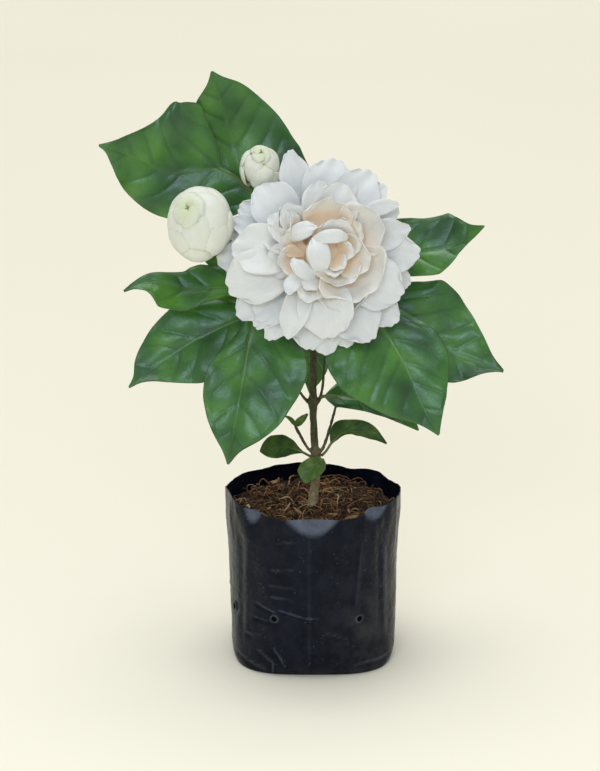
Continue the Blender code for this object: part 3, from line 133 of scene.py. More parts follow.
# Leaves: midrib points, half widths beside it (clockwise side, then the other) as share of length
# and millimetres, the way the upper face looks, stalk start, fold in degrees, edge wave and how
# many waves, and how calmly the blade's cross lines follow a bent midrib
LEAVES = {
    "leaf_top_left": {
        "midrib": (
            (-26.0, 10.5, 220.1), (-42.4, 11.5, 232.3), (-67.5, 10.0, 232.0), (-81.3, 7.0, 239.6),
            (-97.1, 2.0, 246.0),
        ),
        "clockwise": (
            (0.0, 0.5), (0.2, 1.2), (0.26, 2.0), (0.3, 10.2), (0.357, 20.8), (0.4, 30.4), (0.448, 32.0),
            (0.525, 33.0), (0.645, 32.4), (0.69, 29.6), (0.72, 23.6), (0.75, 19.4), (0.8, 14.8),
            (0.873, 8.8), (0.945, 3.6), (1.0, 0.4),
        ),
        "other": (
            (0.0, 4.8), (0.035, 13.0), (0.138, 21.0), (0.398, 23.5), (0.5, 21.6), (0.565, 20.6),
            (0.667, 18.5), (0.748, 16.2), (0.828, 11.6), (0.89, 6.8), (0.958, 1.8), (1.0, 0.4),
        ),
        "face": (-0.12, -0.98, 0.1),
        "stalk": ((-20.75, 10.4, 217.55),),
        "fold": 9.0, "wave": 1.6, "waves": 2.3, "steady": 0.2,
    },
    "leaf_top": {
        "midrib": (
            (-23.8, 15.5, 207.2), (-33.9, 19.0, 230.7), (-38.9, 21.5, 248.9), (-46.1, 14.0, 277.5),
        ),
        "clockwise": (
            (0.0, 0.5), (0.09, 26.0), (0.2, 30.2), (0.35, 29.8), (0.48, 27.2), (0.62, 23.0),
            (0.75, 17.4), (0.87, 10.8), (0.95, 3.8), (1.0, 0.4),
        ),
        "other": (
            (0.0, 0.5), (0.1, 7.5), (0.25, 12.0), (0.42, 16.0), (0.62, 16.6), (0.77, 14.0), (0.85, 11.0),
            (0.9, 7.4), (0.95, 3.2), (1.0, 0.4),
        ),
        "face": (0.1, -0.93, 0.36),
        "stalk": ((-19.6, 11.9, 216.2), (-21.4, 14.2, 211.6)),
        "fold": 8.0, "wave": 1.2, "waves": 2.0,
    },
    "leaf_right_upper": {
        "midrib": (
            (17.6, 4.0, 191.2), (32.7, 2.0, 193.1), (49.1, 0.0, 196.9), (65.8, -2.0, 201.2),
            (77.1, -6.0, 210.6),
        ),
        "clockwise": (
            (0.0, 0.5), (0.12, 5.5), (0.3, 9.0), (0.45, 11.5), (0.6, 12.8), (0.66, 10.8), (0.71, 8.2),
            (0.77, 4.2), (0.84, 2.0), (0.92, 1.1), (1.0, 0.4),
        ),
        "other": (
            (0.0, 0.5), (0.12, 9.0), (0.3, 17.4), (0.36, 18.2), (0.45, 16.9), (0.56, 15.2), (0.66, 15.4),
            (0.76, 15.6), (0.84, 12.0), (0.92, 4.9), (1.0, 0.4),
        ),
        "face": (0.05, -0.78, 0.62),
        "stalk": ((2.6, 3.9, 184.6), (9.0, 4.4, 188.5)),
        "fold": 10.0, "wave": 1.1, "waves": 1.6,
    },
    "leaf_right": {
        "midrib": (
            (22.3, -0.6, 175.1), (32.8, -3.0, 169.2), (45.3, -5.0, 161.2), (61.7, -8.0, 153.2),
            (86.9, -16.0, 145.0),
        ),
        "clockwise": (
            (0.0, 0.5), (0.12, 8.5), (0.3, 16.0), (0.45, 19.3), (0.6, 17.0), (0.72, 14.4), (0.8, 10.8),
            (0.9, 4.3), (1.0, 0.4),
        ),
        "other": (
            (0.0, 0.5), (0.12, 12.9), (0.25, 21.5), (0.4, 26.8), (0.52, 25.2), (0.64, 20.8),
            (0.78, 13.0), (0.9, 4.9), (1.0, 0.4),
        ),
        "face": (0.14, -0.89, 0.44),
        "stalk": ((18.85, -1.5, 174.5),),
        "fold": 9.0, "wave": 1.5, "waves": 2.2,
    },
    "leaf_front_right": {
        "midrib": (
            (23.0, -8.5, 176.1), (33.0, -15.0, 162.4), (41.9, -22.0, 148.0), (48.2, -28.0, 133.9),
            (56.8, -33.0, 119.8),
        ),
        "clockwise": (
            (0.0, 0.5), (0.1, 18.5), (0.2, 30.6), (0.32, 31.9), (0.445, 31.4), (0.56, 28.8),
            (0.66, 23.4), (0.74, 16.8), (0.8, 11.4), (0.88, 5.3), (1.0, 0.4),
        ),
        "other": (
            (0.0, 0.5), (0.1, 8.2), (0.22, 13.6), (0.38, 19.1), (0.5, 20.5), (0.62, 18.0), (0.75, 13.9),
            (0.8, 12.0), (0.88, 7.0), (1.0, 0.4),
        ),
        "face": (0.1, -0.9, 0.42),
        "stalk": ((18.2, -3.3, 173.8), (20.2, -6.4, 175.8)),
        "fold": 10.0, "wave": 1.4, "waves": 2.1,
    },
    "leaf_right_inner": {
        "midrib": ((5.5, 6.0, 125.6), (15.9, 8.0, 124.4), (31.4, 6.0, 121.1), (49.5, 1.0, 110.2)),
        "clockwise": (
            (0.0, 1.2), (0.03, 3.4), (0.1, 6.0), (0.2, 6.0), (0.35, 5.5), (0.5, 5.5), (0.7, 4.2),
            (0.88, 2.0), (1.0, 0.4),
        ),
        "other": (
            (0.0, 0.5), (0.15, 7.5), (0.3, 12.0), (0.5, 13.5), (0.7, 10.6), (0.88, 4.2), (1.0, 0.4),
        ),
        "face": (0.05, -0.78, 0.62),
        "stalk": ((2.1, 1.9, 124.6), (3.6, 4.4, 125.4)),
        "fold": 9.0, "wave": 0.8, "waves": 1.6,
    },
    "leaf_front_left": {
        "midrib": (
            (-21.9, -6.5, 177.3), (-27.8, -12.0, 164.2), (-31.8, -21.0, 146.0), (-34.9, -30.0, 129.3),
            (-39.1, -35.0, 106.3),
        ),
        "clockwise": (
            (0.0, 0.5), (0.08, 3.0), (0.17, 4.2), (0.28, 8.2), (0.42, 14.6), (0.54, 17.0), (0.62, 16.6),
            (0.72, 14.3), (0.82, 10.0), (0.92, 3.7), (1.0, 0.4),
        ),
        "other": (
            (0.0, 0.5), (0.08, 11.8), (0.18, 21.0), (0.3, 26.5), (0.42, 29.0), (0.54, 26.8),
            (0.62, 24.2), (0.72, 20.2), (0.82, 13.2), (0.92, 4.2), (1.0, 0.4),
        ),
        "face": (-0.06, -0.93, 0.38),
        "stalk": ((-15.5, -2.8, 171.3), (-18.4, -5.0, 175.0)),
        "fold": 11.0, "wave": 1.5, "waves": 2.4,
    },
    "leaf_left_lower": {
        "midrib": (
            (-20.3, 1.6, 172.2), (-32.1, -2.0, 166.5), (-53.8, -6.0, 156.8), (-70.8, -10.0, 146.8),
            (-84.7, -17.0, 137.3),
        ),
        "clockwise": (
            (0.0, 0.5), (0.1, 8.0), (0.3, 16.6), (0.48, 18.6), (0.6, 17.4), (0.7, 15.2), (0.8, 11.6),
            (0.87, 7.8), (0.94, 2.5), (1.0, 0.4),
        ),
        "other": (
            (0.0, 0.5), (0.1, 8.0), (0.3, 17.5), (0.46, 21.3), (0.58, 19.6), (0.68, 15.8), (0.78, 10.8),
            (0.87, 5.4), (0.94, 1.7), (1.0, 0.4),
        ),
        "face": (-0.15, -0.88, 0.45),
        "stalk": ((-16.9, -1.0, 171.6),),
        "fold": 9.0, "wave": 1.5, "waves": 2.1,
    },
    "leaf_left": {
        "midrib": (
            (-13.2, 1.5, 181.2), (-29.3, -2.0, 182.0), (-56.6, -9.5, 182.0), (-74.4, -13.0, 186.2),
            (-85.9, -17.0, 183.1),
        ),
        "clockwise": (
            (0.0, 0.5), (0.1, 4.6), (0.3, 11.0), (0.5, 11.2), (0.57, 10.4), (0.65, 7.8), (0.76, 6.3),
            (0.9, 2.6), (1.0, 0.4),
        ),
        "other": (
            (0.0, 0.5), (0.1, 2.8), (0.3, 5.2), (0.5, 7.6), (0.65, 12.0), (0.77, 13.0), (0.84, 9.4),
            (0.9, 4.0), (0.95, 1.3), (1.0, 0.4),
        ),
        "face": (-0.05, -0.72, 0.7),
        "stalk": ((-1.85, 3.0, 183.7), (-7.0, 2.6, 182.4)),
        "fold": 12.0, "wave": 1.3, "waves": 2.2,
    },
    "leaf_left_inner": {
        "midrib": ((-11.9, 9.0, 184.2), (-27.2, 11.0, 187.0), (-41.0, 9.5, 193.0), (-55.8, 5.0, 203.0)),
        "clockwise": (
            (0.0, 0.5), (0.15, 4.6), (0.35, 7.9), (0.55, 8.6), (0.75, 6.2), (0.9, 2.3), (1.0, 0.4),
        ),
        "other": (
            (0.0, 0.5), (0.15, 4.6), (0.35, 7.4), (0.55, 9.0), (0.75, 7.5), (0.9, 2.8), (1.0, 0.4),
        ),
        "face": (-0.1, -0.9, 0.42),
        "stalk": ((-1.2, 5.4, 184.6), (-6.0, 7.4, 184.2)),
        "fold": 9.0, "wave": 0.8, "waves": 1.5,
    },
    "leaf_hanging_back": {
        "midrib": ((2.2, 7.6, 155.4), (0.8, 10.0, 142.1), (-1.6, 11.5, 125.1)),
        "clockwise": (
            (0.0, 0.5), (0.15, 3.8), (0.35, 7.2), (0.55, 7.0), (0.75, 4.4), (0.9, 2.0), (1.0, 0.4),
        ),
        "other": (
            (0.0, 0.5), (0.15, 3.8), (0.35, 6.6), (0.55, 6.4), (0.75, 4.4), (0.9, 2.0), (1.0, 0.4),
        ),
        "face": (0.0, -0.95, 0.3),
        "stalk": ((0.9, 4.0, 154.1), (1.9, 6.2, 155.2)),
        "fold": 10.0, "wave": 0.7, "waves": 1.5,
    },
    "leaf_small_left": {
        "midrib": ((-5.0, -3.6, 100.9), (-14.2, -8.0, 105.1), (-24.9, -12.0, 104.3)),
        "clockwise": (
            (0.0, 0.45), (0.12, 1.6), (0.3, 4.2), (0.5, 6.0), (0.68, 6.0), (0.8, 4.9), (0.9, 3.2),
            (1.0, 0.5),
        ),
        "other": (
            (0.0, 0.45), (0.12, 1.6), (0.3, 3.4), (0.5, 5.2), (0.68, 5.6), (0.8, 4.9), (0.9, 3.5),
            (1.0, 0.5),
        ),
        "face": (-0.05, -0.8, 0.6),
        "stalk": ((-1.0, -2.2, 98.2), (-2.8, -3.0, 99.4)),
        "fold": 10.0, "wave": 0.4, "waves": 1.4,
    },
    "leaf_small_right": {
        "midrib": ((8.3, -1.6, 104.6), (14.8, -3.4, 110.6), (24.1, -5.0, 111.6), (34.2, -8.0, 106.7)),
        "clockwise": (
            (0.0, 0.45), (0.15, 1.2), (0.3, 1.3), (0.4, 1.7), (0.5, 2.8), (0.7, 3.1), (0.88, 1.4),
            (1.0, 0.35),
        ),
        "other": (
            (0.0, 0.45), (0.15, 5.4), (0.24, 6.6), (0.4, 5.6), (0.5, 5.2), (0.7, 4.0), (0.88, 1.8),
            (1.0, 0.35),
        ),
        "face": (0.0, -0.72, 0.7),
        "stalk": ((3.9, -1.6, 98.6), (6.0, -2.2, 101.0)),
        "fold": 20.0, "wave": 0.4, "waves": 1.4,
    },
    "leaf_small_front": {
        "midrib": ((4.6, -5.0, 97.8), (0.2, -11.0, 96.7), (-3.8, -15.0, 89.4)),
        "clockwise": (
            (0.0, 0.6), (0.1, 2.4), (0.2, 3.4), (0.4, 5.0), (0.6, 6.1), (0.75, 5.9), (0.9, 3.2),
            (1.0, 0.5),
        ),
        "other": (
            (0.0, 0.6), (0.1, 3.0), (0.2, 4.2), (0.4, 5.6), (0.6, 5.5), (0.75, 4.2), (0.9, 2.0),
            (1.0, 0.5),
        ),
        "face": (-0.1, -0.7, 0.72),
        "stalk": ((2.0, -2.8, 98.4),),
        "fold": 8.0, "wave": 0.3, "waves": 1.2,
    },
}
TINY_SEED = 31
TINY_LEAVES = (
    {
        "midrib": ((-8.45, -4.05, 114.15), (-5.6, -3.4, 116.6), (-2.6, -2.6, 119.6)),
        "clockwise": ((0.0, 1.0), (0.3, 2.0), (0.65, 1.6), (1.0, 0.4)),
        "other": ((0.0, 1.0), (0.3, 2.0), (0.65, 1.6), (1.0, 0.4)),
        "face": (-0.2, -0.7, 0.7),
        "fold": 30.0, "wave": 0.0, "waves": 1.0,
    },
    {
        "midrib": ((-8.45, -4.05, 114.15), (-10.8, -4.2, 117.4), (-13.4, -4.6, 119.2)),
        "clockwise": ((0.0, 0.5), (0.4, 1.2), (0.7, 0.9), (1.0, 0.35)),
        "other": ((0.0, 0.5), (0.4, 1.2), (0.7, 0.9), (1.0, 0.35)),
        "face": (0.2, -0.7, 0.7),
        "fold": 30.0, "wave": 0.0, "waves": 1.0,
    },
)

# Bloom: middle of its base, tilt in degrees, and the middles and radii of its core and heart in its
# own axes (right, up along its face, out towards the front)
BLOOM_CENTRE = (0.9, -14.0, 199.5)
BLOOM_TILT = 18.0
BLOOM_CORE = ((0.0, 0.0, 2.2), (14.0, 14.0, 3.9))
BLOOM_HEART = ((5.0, 0.0, 7.2), (10.5, 9.5, 4.4))
BALL_GRID = (28, 40)
# Petal form: how wide its foot is, where it is widest, how full its tip is and what a blunt one adds,
# how its rim ruffles and its face wrinkles, how thick rim and middle are, and how deep it is notched
PETAL_FOOT_WIDTH = 0.4
PETAL_WIDEST = 0.6
PETAL_TIP_FULLNESS = 2.6
PETAL_ROW_CROWDING = 1.5
PETAL_SHOULDER = 0.1
PETAL_BLUNT_SHOULDER = 0.13
PETAL_BLUNT_SPAN = 0.12
PETAL_BLUNT_FULLNESS = 1.6
PETAL_RUFFLE = 0.06
PETAL_FINE_RUFFLE = 0.04
PETAL_CREASE_WIDTH = 0.2
PETAL_WRINKLE = 0.3
PETAL_WRINKLE_SIZE = 6.5
PETAL_RIM = 0.26
PETAL_SWELL = 0.3
PETAL_NOTCH = 0.017
HEART_NOTCH_GAIN = 1.9
# How far an outer petal may stray: rise of tip and middle, share of width and cup, roll in degrees
LOOSE_TIP = (-1.0, 1.8)
LOOSE_MIDDLE = (-0.8, 1.4)
LOOSE_WIDTH = (0.9, 1.1)
LOOSE_CUP = (0.5, 1.2)
LOOSE_ROLL = (-10.0, 10.0)
# Rings of petals: reach of their feet, first seed, grid along and across, how far the rim rolls out
# and the pleat sinks, how blunt (least, spread, stride and kinds), cool white, and peach foot partly painted
# as warm shade
BACK_RING = {
    "foot": 12.6, "seed": 0, "grid": (28, 24), "lip": 0.45, "pleat": 0.2, "blunt": (0.25, 0.35, 7, 5),
    "cool": 1.0, "warmth": 0.0,
}
MIDDLE_RING = {
    "foot": 9.6, "seed": 30, "grid": (28, 26), "lip": 0.4, "pleat": 0.16, "blunt": (0.35, 0.4, 3, 4),
    "cool": 0.75, "warmth": 0.15,
}
HEART_RING = {"seed": 60, "grid": (30, 30), "lip": 0.5, "pleat": 0.12}
# Outer petals: foot height, tip, bulge outwards, half width, cup in degrees, roll in degrees
BACK_PETALS = (
    (2.2, (-12.2, 45.9, 8.5), -1.5, 7.4, 30, 0),
    (0.6, (8.8, 42.6, 5.0), -4.0, 14.0, 26, 0),
    (2.2, (25.0, 37.0, 5.5), -3.0, 10.0, 34, 8),
    (0.4, (31.0, 31.5, 2.5), -2.0, 8.0, 30, -12),
    (1.4, (37.4, 19.9, 4.5), -2.0, 6.2, 38, 10),
    (2.6, (42.3, 11.2, 7.0), -2.5, 8.0, 38, 12),
    (1.2, (46.8, 0.2, 5.0), -3.5, 10.5, 24, 6),
    (0.2, (42.8, -13.2, 2.0), -2.0, 8.0, 22, 0),
    (2.6, (38.6, -19.4, 8.0), -4.0, 12.5, 22, 8),
    (0.4, (36.5, -31.2, 2.5), -3.0, 9.5, 22, -6),
    (1.8, (24.8, -39.4, 6.0), -4.0, 13.0, 22, 0),
    (0.2, (14.6, -42.2, 2.0), -2.5, 8.5, 20, 0),
    (1.2, (5.0, -45.6, 3.0), -3.0, 9.6, 20, 0),
    (2.4, (-3.4, -43.4, 6.0), -3.0, 9.6, 20, -6),
    (0.6, (-21.6, -39.0, 3.5), -2.5, 7.6, 24, 0),
    (2.2, (-27.5, -33.4, 5.5), -2.5, 7.6, 24, 0),
    (0.6, (-35.2, -28.6, 3.5), -3.5, 10.8, 24, -8),
    (1.4, (-44.6, -2.8, 4.0), -3.0, 9.2, 24, 0),
    (0.2, (-39.4, 9.4, 2.0), -2.0, 6.6, 28, 8),
    (2.4, (-38.4, 15.0, 6.0), -2.5, 6.6, 30, -8),
    (1.0, (-34.4, 22.0, 4.0), -3.0, 10.0, 26, 0),
    (2.6, (-26.6, 29.8, 7.0), -3.5, 10.6, 26, 6),
)
MIDDLE_PETALS = (
    (4.5, (1.2, 32.0, 11.5), -2.5, 8.0, 36, -8),
    (5.5, (12.6, 30.4, 12.5), -3.0, 10.2, 32, 6),
    (4.5, (-39.8, -16.0, 10.0), -5.5, 12.0, 28, -6),
    (5.5, (-37.6, 1.8, 12.5), -5.5, 12.2, 28, 8),
    (5.5, (-13.2, -38.4, 12.5), -5.0, 6.6, 46, 0),
    (4.5, (6.4, -38.0, 11.0), -5.0, 14.0, 28, 4),
    (6.0, (-24.8, 8.4, 15.0), -1.5, 7.4, 48, 16),
    (6.5, (-22.6, -5.0, 14.5), -1.5, 8.0, 44, -12),
    (6.0, (-21.4, 15.4, 14.5), -1.5, 8.0, 46, 12),
    (6.5, (-14.0, 20.6, 17.0), 1.0, 7.6, 50, 8),
)
# Calyx of the bloom: its tube in the bloom's own axes with radii, end of its stalk, and its sepals
CALYX_TUBE = ((0.0, 0.0, -2.0, 3.6), (0.0, 0.0, -5.0, 3.1), (0.0, 0.0, -9.0, 1.7), (0.0, 0.6, -11.5, 1.1))
BLOOM_STALK_END = (-1.9, 1.9, 203.6)
SEPAL_COUNT = 5
SEPAL_SIDES = 9
SEPAL_POINTS = 16
SEPAL_BOW = 0.9
SEPAL_TURN = 0.3
CALYX_GRID = (40, 28)
STALK_END_RADIUS = 1.0
SEPAL_POINT = 0.08
# Foot and tip of a sepal as distance from the axis and height along it, and its radius
BLOOM_SEPAL = ((2.6, -5.6), (9.5, -7.0), 0.7)
BLOOM_SEPAL_BEND = 0.9

# Buds: middle, radius, axis from base to tip, petal count, first turn in degrees, and how much
# longer than wide they are
BUD_LARGE = {
    "middle": (-51.3, -20.0, 215.6), "radius": 14.1, "axis": (-0.34, -0.74, 0.58),
    "petals": 8, "spin": 35.0, "stretch": 1.14,
}
BUD_SMALL = {
    "middle": (-24.1, -1.0, 236.9), "radius": 8.4, "axis": (0.06, -0.62, 0.78),
    "petals": 6, "spin": 10.0, "stretch": 1.17,
}
# How far the inner core of a bud stays under its surface, and the sepals and grid of its calyx
BUD_HEART_SINK = 3.0
BUD_SEPAL_RADIUS = 0.6
BUD_SEPAL_BEND = 0.5
BUD_SEPAL_TURN = 0.25
BUD_CALYX_GRID = (60, 24)
# Calyx of a bud as shares of its radius: neck radii and length, foot and tip of its sepals
NECK_RADII = (0.2, 0.17)
NECK_LENGTH = 0.2
BUD_SEPAL_FOOT = (0.1, 0.06)
BUD_SEPAL_TIP = (0.62, 0.785)
BUD_SEPAL_DROP = 1.8
# How far the upper core of a bud stays under its tip
BUD_HEART_REACH = 1.4
# Petals wrapped round a bud: bottom and top in degrees, step of the top from one to the next, half
# spread in degrees, how far under the bud's radius they lie, edge lift, how far foot and tip sink,
# and how far they turn round the axis
LOW_WRAP = {
    "bottom": -66.0, "top": 12.0, "step": 9.0, "half": 46.0, "under": -0.45,
    "lift": 0.85, "foot": 3.4, "tip": 0.9, "turn": 0.2,
}
OUTER_WRAP = {
    "bottom": -66.0, "top": 38.0, "step": 10.0, "half": 50.0, "under": 0.0,
    "lift": 0.85, "foot": 3.6, "tip": 0.9, "turn": 0.35,
}
INNER_WRAP = {
    "bottom": -66.0, "top": 70.0, "step": 5.0, "half": 44.0, "under": 0.9,
    "lift": 0.7, "foot": 1.9, "tip": 1.2, "turn": 0.9,
}
TIP_WRAP = {
    "bottom": -66.0, "top": 86.0, "step": 0.0, "half": 52.0, "under": 0.7,
    "lift": 0.5, "foot": 2.5, "tip": 0.4, "turn": 1.5,
}
SWIRL_WRAP = {
    "bottom": 52.0, "top": 89.0, "step": 0.0, "half": 44.0, "under": 0.3,
    "lift": 0.6, "foot": 0.8, "tip": -0.3, "turn": 1.1,
}
# Each wrap with its first turn in degrees and how green its tip is
BUD_WRAPS = (
    (LOW_WRAP, 38.0, 0.2), (OUTER_WRAP, 0.0, 0.5), (INNER_WRAP, 45.0, 0.7), (TIP_WRAP, 20.0, 0.9),
    (SWIRL_WRAP, 60.0, 1.0),
)
WRAP_GRID = (26, 22)
WRAP_WRINKLE = 0.2
WRAP_WRINKLE_SHARE = 0.45
WRAP_RIM = 0.28
WRAP_SWELL = 0.32
# Share of a bud's radius that each petal bulges
PETAL_PILLOW = 0.125
# Rays that look for seams between bud petals, where shade is painted: how many, tilt, length and clearance
SEAM_RAYS = 9
SEAM_TILT = 79.0
SEAM_REACH = 5.5
SEAM_CLEAR = 0.12
BUD_LARGE_STALK = ((-38.6, -5.2, 201.4), (-30.0, -2.6, 203.0), (-14.0, 0.8, 203.8), (-4.1, 3.2, 204.2))
BUD_SMALL_STALK = ((-26.0, 5.2, 227.0), (-24.6, 6.4, 222.4), (-19.2, 8.2, 218.6))

# Leaf stalks, blades and their grids along and across
STALK_RADIUS = 0.8
SMALL_STALK_RADIUS = 0.6
LEAF_THICK = 0.5
SMALL_LEAF_THICK = 0.36
TINY_LEAF_THICK = 0.34
LEAF_GRID = (132, 72)
MIDDLING_LEAF_GRID = (96, 48)
SMALL_LEAF_GRID = (60, 30)
TINY_LEAF_GRID = (24, 12)
MIDDLING_LEAVES = ("leaf_right_inner", "leaf_left_inner", "leaf_hanging_back")
CROSS_LINE_STEP = 0.004
BLADE_ARCH = 0.45
STALK_GRID = (26, 12)
STALK_UNDER = (0.0, 0.06, 0.14, 0.24)
STALK_TUCK = 0.35
STALK_SAG = 0.6
WAVE_FULL_WIDTH = 6.0
WAVE_PHASES = (0.6, 2.4)
RIPPLE_PACE = 2.7
RIPPLE_SHARE = 0.28

# Finer form of the leaves, in millimetres for a leaf of full length
FULL_LEAF = 70.0
VEIN_COUNT = 5.8
VEIN_FIRST = -0.62
VEIN_LAST = 0.93
VEIN_SHIFT = 0.3
VEIN_STRAY = 0.14
VEIN_LEAN = 0.72
VEIN_ARCH = 0.5
VEIN_ARCH_WIDTH = 4.0
VEIN_SLANT = 0.78
VEIN_RIDGE = 0.25
RIB_RIDGE = 0.7
RIB_HALF_WIDTH = 0.85
RIB_GROOVE = 0.28
GROOVE = 0.18
QUILT = 0.42
CRUMPLE = 1.5
CRUMPLE_SIZE = 15.0
SMALL_CRUMPLE_SIZE = 6.5
TONE_SIZE = 17.0
RIM_WIDTH = 1.6

# Heart of the bloom in the bloom's own axes: midline from foot to tip, the way the inside looks,
# half width, cup in degrees, how blunt, how cool its white is and how peach its foot, partly painted warm
# shade
HEART_PETALS = (
    (((5, 5, 8), (5, 14, 10), (5.5, 20.5, 14), (6, 22.8, 19)), (0, -0.75, 0.65), 12.5, 45, 0.9, 0.4, 1.0),
    (((8, 3, 9), (8.5, 9, 13), (9, 11.3, 18), (9, 14.2, 19.8)), (0, -0.6, 0.8), 9.0, 24, 0.9, 0.5, 0.8),
    (((1.5, -10.6, 14), (1.6, -5, 20.2), (0.4, 1, 22.2), (-1.4, 6.5, 19.5)),
     (0, 0, 1), 5.4, -22, 0.2, 0.9, 0.1),
    (((-2, 4.5, 18), (4, 6.3, 22.8), (10, 6.5, 22.2), (14.4, 5.8, 18.8)),
     (0, -0.1, 1), 3.1, -15, 0.7, 0.9, 0.0),
    (((-13, 4, 9), (-10.5, 7.8, 15), (-5, 10, 18.5), (0.6, 11.3, 19)),
     (0.1, 0.2, 1), 4.0, -12, 0.2, 0.8, 0.0),
    (((-8, 4, 9), (-10, 11, 13), (-10.5, 17.8, 18)), (0.75, -0.2, 0.6), 4.6, 50, 0.4, 0.5, 0.9),
    (((-11, 3, 8), (-14, 12, 11), (-15, 20, 15.5)), (0.6, -0.2, 0.75), 6.0, 46, 0.5, 0.4, 0.5),
    (((1, -12, 12), (-4, -9.5, 17), (-8, -6.5, 19), (-11, -3.2, 18.5)),
     (-0.1, 0, 1), 3.6, -12, 0.6, 1.0, 0.0),
    (((2, -9, 10), (-2, -12.5, 14), (-5, -16.4, 16.5)), (0, 0.3, 1), 5.0, -10, 0.5, 0.7, 0.1),
    (((-5, -3, 8), (-12, -3.5, 11), (-16.8, -4, 17)), (0.7, 0, 0.7), 8.0, 50, 0.7, 0.2, 1.0),
    (((-5, 0, 8), (-11, 3, 11), (-16.4, 4.5, 16)), (0.7, -0.2, 0.7), 6.0, 46, 0.6, 0.3, 0.9),
    (((2, -9, 9), (-2, -15, 12), (-5, -22, 17.5)), (0.25, 0.5, 0.83), 8.0, 52, 0.5, 0.5, 0.6),
    (((-6, -10, 12), (-10.5, -13.5, 16.5), (-12.6, -19, 17)), (-0.2, 0.1, 1), 3.8, -10, 0.7, 1.0, 0.0),
    (((11, 4, 8), (19, 9, 9), (25, 13, 12.5), (28, 15.2, 17.5)),
     (-0.6, -0.3, 0.74), 15.5, 56, 0.9, 0.35, 0.5),
    (((18, 13, 10), (27, 19.5, 13.5), (36.8, 21.0, 15)), (-0.1, -0.2, 1), 3.6, 18, 0.6, 0.9, 0.0),
    (((9, 0, 8), (15, -9, 9), (20, -15.5, 12), (22.6, -19.4, 17.5)),
     (-0.35, 0.6, 0.72), 21.0, 62, 0.9, 0.3, 0.4),
    (((9, -6, 7), (11, -16, 8.5), (12.5, -23, 11.5), (13, -26.6, 15.5)),
     (-0.05, 0.7, 0.7), 13.5, 50, 0.9, 0.4, 0.4),
    (((6, 0, 9), (9, -7, 11), (11, -12, 14.5), (11.5, -14.8, 18.5)),
     (-0.1, 0.65, 0.75), 12.0, 54, 1.0, 0.2, 0.6),
    (((8, 1, 9), (15, -1.5, 11), (20.5, -4, 14.5), (23.5, -5, 18.5)),
     (-0.65, 0.1, 0.75), 10.5, 56, 1.0, 0.2, 0.7),
    (((7, -2, 10), (10, -5, 15), (12.5, -6.5, 20)), (-0.4, 0.4, 0.8), 5.2, 45, 0.7, 0.3, 0.7),
    (((9, 1, 10), (13, 0.5, 15), (16.5, -0.5, 20)), (-0.7, 0, 0.7), 5.2, 48, 0.8, 0.3, 0.8),
    (((6, -4, 10), (7.5, -8, 15.5), (8.2, -10.8, 20)), (0, 0.6, 0.8), 5.2, 44, 0.8, 0.4, 0.6),
    (((11, 3, 10), (16, 3.5, 14), (19.6, 3.5, 18.5)), (-0.75, -0.1, 0.65), 6.0, 48, 0.8, 0.2, 0.9),
    (((9, 4, 9), (15, 8, 10.5), (19.6, 11.5, 15)), (-0.7, -0.35, 0.65), 9.5, 56, 0.9, 0.2, 0.8),
)

# Peach heart of the bloom, peach tint with painted warm shade deep inside, in the bloom's own axes:
# middle, reach, and heights between which it fades
WARM_HEART = (4.0, 1.0)
WARM_REACH = 19.0
WARM_LOW = 10.0
WARM_HIGH = 20.5

# Film: thickness, steps of its grid in degrees and upwards, and how far it may stand in and out
FILM_THICK = 0.42
FILM_TURN_STEP = 1.5
FILM_RISE_STEP = 1.15
FILM_OUT = (-6.0, 0.75)
# Bumps of the film: how far they stand out, how squat they are upwards, size, octaves and seed
BROAD_BUMPS = (0.55, 0.6, 15.0, 2, 3.0)
UPRIGHT_BUMPS = (0.75, 0.24, 6.5, 2, 5.0)
FINE_BUMPS = (0.1, 1.0, 3.4, 3, 8.0)
UPRIGHT_BAND = (46.0, 78.0)
FOOT_BAND = (1.0, 9.0)
# Where front and rear blend, and the drain holes: radius, finer steps round them, radius of the bag
FACE_BLEND = 12.0
HOLE_RADIUS = 1.2
HOLE_TURN = 4.2
HOLE_TURN_STEP = 0.42
HOLE_RISE_STEP = 0.34
HOLE_BAND = (25.0, 36.0)
HOLE_ARC = 39.0
# Rings round a drain hole, and its ring of painted highlight: how high or bright, how far from its middle,
# half width
HOLE_RINGS = ((0.55, 1.75, 0.42), (-0.25, 2.9, 0.8))
SHEEN_RING = (0.5, 1.7, 0.45)
DUST_SPOT = (25.0, 20.0)
CREASE_GAIN = 1.3
# Dents under the rim: middle, lowest height, bow of the lower edge, depth and half width
DENT_SLOPE = 0.37
RIM_DENTS = (
    (-0.6, 71.8, 0.047, 4.2, 15.5), (-28.0, 73.6, 0.35, 2.8, 5.5), (28.6, 75.0, 0.16, 2.6, 6.5),
)
